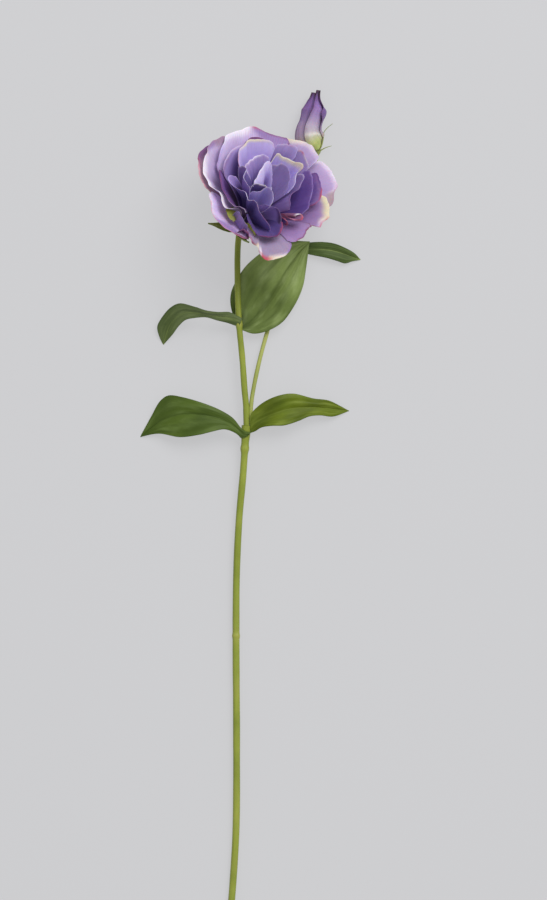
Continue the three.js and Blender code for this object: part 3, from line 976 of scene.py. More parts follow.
@dataclass(frozen=True)
class Stalk:
    """One stalk: its middle line, its radius, where it swells and where its joints are yellower."""

    node: str
    slot: str
    line: Points
    radius: float
    bumps: tuple[Bump, ...]
    steps: int
    joints: tuple[float, ...]

    UNEVEN = 0.05
    UNEVEN_SPAN = 400
    UNEVEN_WAVE = 14.0
    ROUNDED = 0.12
    ROUNDED_REACH = 900
    JOINT_WIDTH = 0.012

    def radii(self, share: np.ndarray) -> np.ndarray:
        """The radius, slightly uneven as it grew and rounded at the lower end.

        Args:
            share: places along the stalk, as shares of its length.

        Returns:
            The radius at each.
        """
        grown = self.radius + sum(b.grown(share) for b in self.bumps)
        uneven = self.UNEVEN * wave(share * self.UNEVEN_SPAN, self.UNEVEN_WAVE, len(self.line))
        worn = 1 - self.ROUNDED * np.exp(-share * self.ROUNDED_REACH)
        return (grown + uneven) * worn

    def jointed(self, share: np.ndarray) -> np.ndarray:
        """How near a joint each share of the length is, from 0 to 1."""
        return sum(np.exp(-(((share - at) / self.JOINT_WIDTH) ** 2)) for at in self.joints)


@dataclass
class Stalks:
    """The main stem, the flower's stalk and the bud's stalk."""

    sweep: Sweep
    main: Stalk = Stalk(
        node="main_stem", slot="stem_green",
        line=[
            (-12.9, -226, 2.2), (-11.6, -210, 2.08), (-9.9, -180, 2.08), (-9.6, -130, 2.2),
            (-9.9, -75, 2.6), (-9.6, -40, 3.1), (-8.2, -10, 3.8), (-6, 15, 4.8), (-4.6, 36, 5.8),
            (-4.1, 41.5, 6.1),
        ],
        radius=1.9,
        bumps=(Bump(0.567, 0.004, 0.3), Bump(0, 0.008, 0.2), Bump(0.952, 0.007, 0.5), Bump(1, 0.03, 0.8)),
        steps=420, joints=(0.567,),
    )
    flower: Stalk = Stalk(
        node="flower_stalk", slot="stem_green",
        line=[
            (-4, 41, 6.2), (-4.3, 51.5, 6.6), (-5.2, 61, 7), (-6.4, 78, 7.4), (-8.2, 96.8, 7.8),
            (-8.9, 112, 7.4), (-9.1, 124, 6.4), (-9.1, 134, 5.2), (-8.8, 141.5, 4.6), (-8.1, 147.4, 4.9),
            (-7.5, 149.8, 6.7),
        ],
        radius=1.65, bumps=(Bump(0, 0.14, 0.15), Bump(0.512, 0.02, 0.3)), steps=200, joints=(0.512,),
    )
    bud: Stalk = Stalk(
        node="bud_stalk", slot="young_stem_green",
        line=[
            (-2.3, 42.6, 5.7), (-1.3, 55.5, 5), (2.7, 76, 3.5), (8.2, 96.5, 2.2), (14, 117, 1.6),
            (21, 140, 1.8), (27, 160, 1.9), (32, 178, 2.1), (34.5, 190.4, 2.8),
        ],
        radius=1.15, bumps=(Bump(0, 0.1, 0.1), Bump(0.655, 0.012, 0.3)), steps=220, joints=(0.0, 0.655),
    )

    def build(self) -> None:
        """Makes the three stalks."""
        ripe = StalkFinish("ripe_stalk").make()
        young = StalkFinish("young_stalk", "a9ae5c", "8f9748", "c0c276", 0.42).make()
        for stalk, finish in ((self.main, ripe), (self.flower, ripe), (self.bud, young)):
            strand = Strand(stalk.line, stalk.radii, stalk.steps)
            mesh = self.sweep.mesh(stalk.node, [strand], finish, Sides=28, Ridges=5, Ridge_depth=0.035)
            share = read_values(mesh, "along") / Curve(stalk.line).length
            write_values(mesh, "joint", stalk.jointed(share))
            piece(mesh, finish, stalk.node)


# ---- leaves ----


@dataclass(frozen=True)
class Leaf:
    """A leaf between its two edges, with its midrib a curve of its own, each from base to tip.

    Camber is how high each half arches, waviness how far its margin waves and pleat how deep the folds
    along it are, in millimetres. Painted light and shade, given as knots along its length, are added to
    its lightness. Veins are the places of its side veins, from the left edge at -1 over the midrib at 0
    to the right edge at 1.
    """

    node: str
    left: Points
    rib: Points
    right: Points
    finish: LeafFinish
    seed: int
    camber: float = 0.4
    waviness: float = 0.4
    rows: int = 110
    columns: int = 56
    thickness: float = 0.34
    # painted light and shade, added to the leaf's lightness along its length
    bright: Knots = ((0, 0.0), (1, 0.0))
    veins: tuple[float, ...] = (-0.78, -0.52, -0.27, 0.27, 0.52, 0.78)
    pleat: float = 0.25

    LENGTH = 60.0  # about a leaf's length, in millimetres
    END = 0.998  # the tip stays a little blunt
    GROOVE = 0.24
    NERVE_GROOVE = 0.07
    NERVE_WIDTH = 0.3
    KEEL = 0.5
    BRIGHTEST = 1.25

    def build(self) -> None:
        """Makes the leaf."""
        finish = self.finish.make()
        piece(self.skin().mesh(self.node), finish, self.node)

    def skin(self) -> Skin:
        """The leaf with its grooves, ribs and wavy margin.

        Returns:
            Its skin.
        """
        t = np.linspace(0, self.END, self.rows)[:, None]
        side = np.linspace(-1, 1, self.columns)[None, :]
        left, rib, right = (Curve(points).at(t[:, 0]) for points in (self.left, self.rib, self.right))
        w = side[..., None]
        edge = np.where(w < 0, left[:, None], right[:, None])
        flat = placed(rib[:, None] + (edge - rib[:, None]) * np.abs(w))
        widths = [np.linalg.norm(e - rib, axis=1)[:, None] for e in (left, right)]
        half = np.where(side < 0, *widths)
        place = np.abs(side) * half
        midrib = np.exp(-((place / (0.75 - 0.45 * t)) ** 2))
        nerve = self._nerves(side, half)
        relief = self._blade(side, t) - self.GROOVE * midrib - self.NERVE_GROOVE * nerve
        points = flat + sheet_normals(flat, UP) * relief[..., None]
        # lift: random lighter patches plus the painted light and shade along the length
        lift = 0.5 + 0.5 * wave(t * self.LENGTH + side * 9, 12.0, self.seed + 2) + by_knots(self.bright, t)
        thickness = self.thickness * (1 - 0.55 * np.abs(side) ** 6) + self.KEEL * midrib * (1 - t)
        seen = {
            "rib": np.clip(midrib * 0.8 + nerve * 0.12, 0, 1),
            "lift": np.clip(lift, 0, self.BRIGHTEST),
        }
        return Skin(points, thickness, UP, t * 6 + 0 * place, side + 0 * place, seen)

    def _blade(self, side: np.ndarray, t: np.ndarray) -> np.ndarray:
        """How far the blade stands off its flat shape: its arch, ripples and pleats.

        Args:
            side: places across, from -1 to 1.
            t: places along, from 0 to 1.

        Returns:
            The distance at each point, in millimetres.
        """
        out = np.abs(side)
        arch = self.camber * np.sin(math.pi * out) * ramp(0, 0.12, t) * ramp(1, 0.8, t)
        ripple = self.waviness * out**3 * wave(t * self.LENGTH, 9.0, self.seed)
        ripple = ripple * np.where(side < 0, 1, wave(t * self.LENGTH, 7.0, self.seed + 1))
        pleats = self.pleat * wave(side * 4 + t * 2, 1.0, self.seed + 5)
        pleats = pleats * ramp(0.1, 0.4, t) * ramp(1, 0.8, t)
        return arch + ripple + pleats

    def _nerves(self, side: np.ndarray, half: np.ndarray) -> np.ndarray:
        """Where the side veins run, which arch from the base to the tip."""
        near = [np.abs(side - at) * half for at in self.veins]
        return sum(np.exp(-((d / self.NERVE_WIDTH) ** 2)) for d in near)


LEAVES = (
    Leaf(
        node="leaf_lower_left",
        left=[
            (-3.2, 35.7, 8.7), (-5.2, 34.9, 8.6), (-7, 34.5, 7.8), (-8.8, 36.3, 7.8), (-12.2, 38.3, 9),
            (-16.5, 39.3, 10.5), (-23.1, 38, 11.5), (-30, 36.4, 11), (-40.7, 35.1, 8.2), (-52.3, 37, 4),
            (-62.8, 35.2, 0.1),
        ],
        rib=[
            (-2.6, 36.8, 8.7), (-4.7, 36.8, 9.1), (-8, 38.9, 8.1), (-13, 42.8, 8.6), (-20, 45.6, 9.6),
            (-30, 47.4, 9.4), (-40, 47.6, 7.6), (-50, 44.6, 4.2), (-62.8, 35.2, 0.1),
        ],
        right=[
            (-0.9, 38.2, 6.9), (-4.2, 38.2, 9.1), (-6.9, 40, 8.1), (-11.7, 45.7, 8.6), (-19.8, 50.6, 9.8),
            (-29.7, 54.4, 10.2), (-39, 57, 8.8), (-47.2, 58, 6.2), (-51.6, 55, 4.8), (-56.4, 46.8, 2.4),
            (-62.8, 35.2, 0.1),
        ],
        # groove: a painted shadow along the midrib
        finish=LeafFinish(
            name="leaf_dark", blade="455819", deep="3b4d17", light="50641f", vein="74884c",
            groove="3c4e18", streak=0.35, shade=0.3,
        ),
        seed=11,
    ),
    Leaf(
        node="leaf_lower_right",
        left=[
            (-2.3, 43.2, 8.3), (-1.7, 47.6, 8.7), (2.4, 52.2, 9.4), (8.5, 56.1, 10.8), (15, 58.3, 11.4),
            (22, 58.9, 10.6), (32.7, 56.3, 7.8), (41, 55.2, 5), (46.2, 52.9, 2.8), (52.4, 49.5, 0.1),
        ],
        rib=[
            (-2.2, 39.8, 7.9), (0.4, 43, 8.4), (6, 46, 8.8), (13, 49, 9.6), (20, 50.8, 9.4),
            (30, 51.6, 7.4), (40, 51.2, 4.2), (52.4, 49.5, 0.1),
        ],
        right=[
            (-1.8, 37.4, 6.9), (0.8, 38.4, 7.6), (3.9, 40.3, 9), (9, 41.2, 11), (17, 41.6, 11.4),
            (24.6, 44, 9.8), (30.3, 46.4, 8), (36, 47, 6), (43.2, 46.4, 3.4), (52.4, 49.5, 0.1),
        ],
        finish=LeafFinish(
            name="leaf_fresh", blade="525e08", deep="43520a", light="64740e", vein="8e9c44",
            groove="6c7a28", streak=0.35, shade=0.3,
        ),
        seed=23,
    ),
    Leaf(
        node="leaf_upper_left",
        left=[
            (-8.4, 95.8, 9.5), (-10.6, 96.4, 8.6), (-14, 97.6, 9.2), (-20.6, 99.2, 10.8), (-27, 101, 11),
            (-33, 100.5, 10.4), (-37.6, 99.4, 9.4), (-41.4, 96, 7), (-45, 91.2, 4), (-50, 85.8, 0.1),
        ],
        rib=[
            (-7.1, 98.2, 9.8), (-9.6, 99.2, 9.9), (-16, 101, 11), (-24, 102, 13), (-32, 103.4, 12),
            (-39, 103, 9.8), (-45.4, 97.6, 5.8), (-50, 85.8, 0.1),
        ],
        right=[
            (-6.5, 100.4, 9), (-9.2, 101.8, 10.2), (-13.6, 103.8, 12), (-20, 103.7, 15),
            (-26.1, 104.6, 16), (-33, 106.6, 14.6), (-41, 108.5, 11.4), (-46, 106.2, 8.6),
            (-51, 100.4, 5), (-53.2, 95.8, 3.2), (-52.2, 90.6, 1.8), (-50, 85.8, 0.1),
        ],
        finish=LeafFinish(
            name="leaf_turned", blade="505e32", deep="404f28", light="66744a", vein="84905c", streak=0.4,
        ),
        seed=37, camber=0.3, waviness=0.3,
    ),
    Leaf(
        node="leaf_upper_right",
        left=[
            (-8.0, 95.6, 6.2), (-11, 100.6, 5.2), (-13, 108.6, 4.9), (-12.6, 114.6, 4.7),
            (-9.9, 121, 4.5), (-4.6, 129, 5.4), (2.8, 135.6, 6), (10, 140.2, 6.2), (19, 142.8, 5.6),
            (30.6, 142.7, 4.2),
        ],
        rib=[
            (-7.6, 94.8, 6.2), (-1.7, 99, 4.7), (5.5, 108, 4.3), (12, 118, 4.3), (18.6, 128, 4.5),
            (25, 137, 4.6), (30.6, 142.7, 4.2),
        ],
        right=[
            (-6.8, 94, 6.2), (-1, 92, 6.4), (4.4, 92.5, 7), (10.7, 94.9, 7.2), (16, 98.6, 7.2),
            (20.4, 104.3, 7), (24.8, 112.2, 6.8), (27.2, 119, 6.4), (28.6, 128, 5.8), (30.6, 142.7, 4.2),
        ],
        # groove: a painted shadow along the midrib
        finish=LeafFinish(
            name="leaf_broad", blade="465912", deep="35460a", light="8ea25a", vein="9aac6e",
            groove="3c4f10", streak=0.6, shade=0.5,
        ),
        seed=41, camber=0.3, waviness=0.3, rows=130, columns=72,
        # painted light and shade: darker towards the base, lighter towards the lit tip
        bright=((0, -0.5), (0.42, -0.45), (0.55, 0.1), (0.64, 0.5), (0.75, 0.6), (1, 0.5)), pleat=0.5,
    ),
    Leaf(
        node="leaf_bud_right",
        left=[
            (21.9, 140.6, 2.2), (26.6, 142, 2.8), (31.1, 142.2, 3.6), (38, 142.4, 4.8), (44, 141.6, 4.8),
            (49.5, 139.5, 3.8), (55, 136.4, 2.2), (58.6, 132.6, 0.25),
        ],
        rib=[
            (22, 139.6, 1.9), (29, 138.8, 2.4), (36, 138.4, 3.2), (43, 137.8, 3.2), (50, 135.8, 2.2),
            (58.6, 132.6, 0.25),
        ],
        right=[
            (22, 138.8, 2.1), (27, 136.4, 2.6), (33, 135, 3.4), (40, 133.6, 4.2), (46, 131.8, 3.6),
            (50.1, 130.6, 2.6), (54, 131.7, 1.8), (58.6, 132.6, 0.25),
        ],
        finish=LeafFinish(
            name="leaf_small", blade="425426", deep="33441c", light="52652e", vein="6a7c42",
        ),
        seed=53, camber=0.3, waviness=0.25, rows=90, columns=40,
    ),
)


# ---- petals of the bloom ----


@dataclass(frozen=True)
class Tones:
    """The colours of a petal from its claw to its margin, on its outer face, and where they change."""

    # claw and deep: partly the petal's own deeper colour near its base, partly painted shade for crevices
    claw: str
    deep: str
    body: str
    pale: str
    back: str
    reach: tuple[float, float] = (0.25, 0.8)


# The dark claws and deep tones below are partly painted shade, darkest where petals meet in crevices.
PALE_TONES = Tones("5a3c58", "6e5078", "aa94c0", "c8b8d6", "a08ab8", (0.3, 0.74))
TOP_TONES = Tones("7d6a8c", "7a5f9c", "b09ac8", "c8b8d8", "9a84bb")
FAR_TONES = Tones("7d6a8c", "7a649a", "9a84b2", "ac98be", "927ca4")
LOW_TONES = Tones("9a9e3c", "a3a83e", "c6aeda", "cdbbe4", "8a74a8", (0.46, 0.56))
FOOT_TONES = Tones("9a9e3c", "989c44", "9a8aa8", "8f7e98", "9a84a8", (0.34, 0.46))
BAND_TONES = Tones("5a4470", "6a4f7c", "b898aa", "c2a2b2", "8a6e88")
LOBE_TONES = Tones("5a4470", "5a4470", "8068a4", "8a74ac", "a391c8")
FLAP_TONES = Tones("4a3460", "4a3460", "7a6298", "7e669a", "8a74ac")
CLAW_TONES = Tones("92963e", "92963e", "8a8e3a", "8a8e3a", "b0b44a")
MIDDLE_TONES = Tones("3a2850", "34225c", "705a98", "a08dc2", "8570b4", (0.4, 0.88))
SHADE_TONES = Tones("120a14", "1a0e1a", "62407e", "6c4a88", "6a5086", (0.6, 0.85))
INDIGO_TONES = Tones("2a1c3a", "3e2e5a", "584682", "524078", "4a3870")
DEEP_TONES = Tones("241838", "2c1e4c", "553d80", "644a90", "554080", (0.3, 0.85))
SIDE_TONES = Tones("4c3a5e", "4a3678", "7e6a9e", "8c7aac", "8570b4")
SOFT_TONES = Tones("5a4470", "6a4f7c", "876a9c", "957aa6", "86709c", (0.15, 0.55))
HEART_TONES = Tones("2f2148", "4c3a86", "a895d2", "c0b2e2", "9584c4", (0.15, 0.6))
CURL_TONES = Tones("2f2148", "4c3a86", "a08ec4", "b0a0d0", "a89ad6", (0.15, 0.6))
FOLD_TONES = Tones("161024", "2a2148", "8a74b4", "9a86c0", "5a4a90", (0.6, 0.85))

Edge = tuple[float, Margin, float]
QUIET_EDGE: tuple[Edge, ...] = ((0.0, Margin.LILAC, 0.9), (1.0, Margin.LILAC, 0.9))


@dataclass(frozen=True)
class Petal:
    """A petal, or a lobe of one, that fans out from its ring on the receptacle to its rim.

    The rim's points are in plan about the bloom's base, with their height along the axis. The petal first
    rises along the axis, and meets its rim leaning out by flare degrees, given at even steps along it. Its
    margin, and the wash inside the margin, are a colour and a width in millimetres at places along the rim.
    Paint is how strong the margin's colour is. Ruffle, lip and crease are in millimetres and roll is in
    degrees. Corner is by what share of its length the petal is shorter at the two ends of its rim.
    """

    node: str
    layer: int
    flare: tuple[float, ...]
    rim: Points
    tones: Tones
    margin: tuple[Edge, ...] = QUIET_EDGE
    paint: float = 0.5
    wash: tuple[Edge, ...] = ()
    ruffle: float = 0.3
    lip: float = 0.55
    roll: Knots = ((0.0, 45.0), (1.0, 45.0))
    crease: float = 0.3
    corner: float = 0.06

    RING = 6.3  # the radius of layer 0 on the receptacle
    RING_STEP = 0.56  # each further layer stands this much further in, and higher
    LIFT = 0.7
    RISE = 0.42  # its curve first heads for this share of its height
    SPREAD = 0.1  # and this share of its way out
    PULL = 0.36  # the end's handle, as a share of its length
    CORNER_REACH = 4.0
    OPEN_ABOVE = 60.0  # inner faces look towards the axis at this height
    ROWS = 37
    LIP_ROWS = 8
    COLUMNS = 100
    THICKNESS = 0.32
    THIN_EDGE = 3.0
    LIP_WAVE = 3.1
    ROLL_WAVE = 5.2
    FRILL_OUT = 4.6
    FRILL_UP = 3.4
    NICKS = 1.3
    WASH = 0.88  # how strong the wash is
    BACK = 0.85  # how strong the outer face's own tone is

    def surface(self) -> np.ndarray:
        """The petal's sheet, from its claw to the end of its rolled lip.

        Returns:
            Its points, row by row.
        """
        seed = sum(map(ord, self.node)) + len(self.rim)
        curve = Curve(BLOOM.from_plan(self.rim).tolist())
        v = np.linspace(0, 1, self.COLUMNS)
        s = v * curve.length
        tip = curve.at(v) - np.array(BLOOM.base)
        height = tip @ BLOOM.axis
        out = tip - height[:, None] * BLOOM.axis
        radius = np.linalg.norm(out, axis=1)
        out /= radius[:, None]
        near = np.minimum(s, curve.length - s)
        lip = self.lip * (1 + 0.3 * wave(s, self.LIP_WAVE, seed + 6))
        corner = self.corner * (1 - ramp(0, self.CORNER_REACH, near)) ** 2
        reach = 1 - corner - 0.7 * lip / np.hypot(radius, height)
        u = np.linspace(0, 1, self.ROWS)[:, None] * reach[None, :]
        ring = self.RING - self.RING_STEP * self.layer
        lift = self.LIFT + self.RING_STEP * max(0, self.layer)
        lean = np.radians(np.interp(v, np.linspace(0, 1, len(self.flare)), self.flare))
        pull = np.hypot(radius - ring, height - lift) * self.PULL
        spread = ring + self.SPREAD * (radius - ring)
        rise = lift + self.RISE * (height - lift)
        r = bezier(ring, spread, radius - pull * np.sin(lean), radius, u)
        h = bezier(lift, rise, height - pull * np.cos(lean), height, u)
        turn = np.radians(by_knots(self.roll, v)) * (1 + 0.5 * wave(s, self.ROLL_WAVE, seed + 5))
        r, h = self._with_lip(r, h, turn, lip)
        share = np.vstack([u, np.ones((self.LIP_ROWS, 1)) * reach[None, :]])
        folds = self.crease * ramp(0.12, 0.8, share)
        fold = folds * (wave(v * 9, 1.0, seed) + 0.6 * wave(v * 17, 1.0, seed + 1))[None, :]
        frill = ramp(0.55, 1.0, share) * self.ruffle
        nicks = 0.2 * ramp(0.9, 1, share) * wave(s, self.NICKS, seed + 4)
        r = r + fold + frill * wave(s, self.FRILL_OUT, seed + 2)[None, :]
        h = h + frill * 0.9 * wave(s, self.FRILL_UP, seed + 3)[None, :] + nicks
        return np.array(BLOOM.base) + r[..., None] * out[None] + h[..., None] * BLOOM.axis

    def _with_lip(
        self, r: np.ndarray, h: np.ndarray, turn: np.ndarray, lip: np.ndarray
    ) -> tuple[np.ndarray, np.ndarray]:
        """Adds the rows of the lip, which rolls outwards from the rim, or inwards where turn is negative.

        Args:
            r: the radius of each point, row by row up to the rim.
            h: the height of each point along the axis.
            turn: how far the lip rolls at each place along the rim, in radians.
            lip: how wide it is there, in millimetres.

        Returns:
            The radii and the heights, with the lip's rows.
        """
        heading = np.arctan2(r[-1] - r[-2], h[-1] - h[-2])
        rows_r, rows_h = [r], [h]
        for k in range(1, self.LIP_ROWS + 1):
            a = heading + turn * k / self.LIP_ROWS
            rows_r.append(rows_r[-1][-1:] + (lip / self.LIP_ROWS * np.sin(a))[None])
            rows_h.append(rows_h[-1][-1:] + (lip / self.LIP_ROWS * np.cos(a))[None])
        return np.vstack(rows_r), np.vstack(rows_h)

    @staticmethod
    def _along(edges: tuple[Edge, ...], v: np.ndarray) -> tuple[np.ndarray, np.ndarray]:
        """What edges say at places along the rim.

        Args:
            edges: the margin or the wash.
            v: the places, from 0 to 1.

        Returns:
            The colour and the width at each place.
        """
        places = [at for at, _, _ in edges]
        codes = np.array([tint(colour.value) for _, colour, _ in edges])
        paint = np.stack([np.interp(v, places, channel) for channel in codes.T], axis=1)
        return paint, np.interp(v, places, [wide for _, _, wide in edges])

    def _tone(self, share: np.ndarray, to_rim: np.ndarray, v: np.ndarray) -> np.ndarray:
        """The petal's tones.

        Args:
            share: how far from its claw to its rim each point is.
            to_rim: how far each is from the rim, in millimetres.
            v: the places along the rim.

        Returns:
            The colour of each point of the inner face, and then of the outer face.
        """
        t = self.tones
        face = blend(tint(t.claw), tint(t.deep), ramp(0.04, 0.2, share))
        face = blend(face, tint(t.body), ramp(t.reach[0], t.reach[1], share))
        face = blend(face, tint(t.pale), ramp(0.72, 1.0, share) ** 1.2)
        behind = blend(face, tint(t.back), self.BACK * ramp(0.1, 0.6, share))
        if self.wash:
            colour, width = self._along(self.wash, v)
            near = self.WASH * ramp(1.0, 0.25, to_rim / width[None, :])
            face = blend(face, colour[None], near)
            behind = blend(behind, colour[None], near)
        return np.concatenate([face.reshape(-1, 3), behind.reshape(-1, 3)])

    def skin(self) -> Skin:
        """The petal, painted with its tones, wash and margin.

        Returns:
            Its skin.
        """
        points = self.surface()
        rows, columns = points.shape[:2]
        down = np.linalg.norm(np.diff(points, axis=0), axis=2)
        to_rim = np.vstack([np.cumsum(down[::-1], axis=0)[::-1], np.zeros((1, columns))])
        over = np.linalg.norm(np.diff(points, axis=1), axis=2)
        from_side = np.hstack([np.zeros((rows, 1)), np.cumsum(over, axis=1)])
        to_side = np.minimum(from_side, from_side[:, -1:] - from_side)
        v = np.linspace(0, 1, columns)
        share = 1 - to_rim / to_rim[0]
        paint, width = self._along(self.margin, v)
        edge = np.minimum(to_rim, to_side * 1.5) / width[None, :]
        near = np.minimum(to_rim, to_side)
        thickness = self.THICKNESS * (0.4 + 0.6 * ramp(0, self.THIN_EDGE, near))
        toward = BLOOM.axis * self.OPEN_ABOVE - (points - np.array(BLOOM.base))
        values = {"edge": edge, "rim_share": np.full(share.shape, self.paint)}
        margin = np.broadcast_to(paint[None], points.shape)
        colours = {"tone": self._tone(share, to_rim, v), "margin": margin}
        return Skin(placed(points), thickness, toward, share, v[None, :] + 0 * share, values, colours)


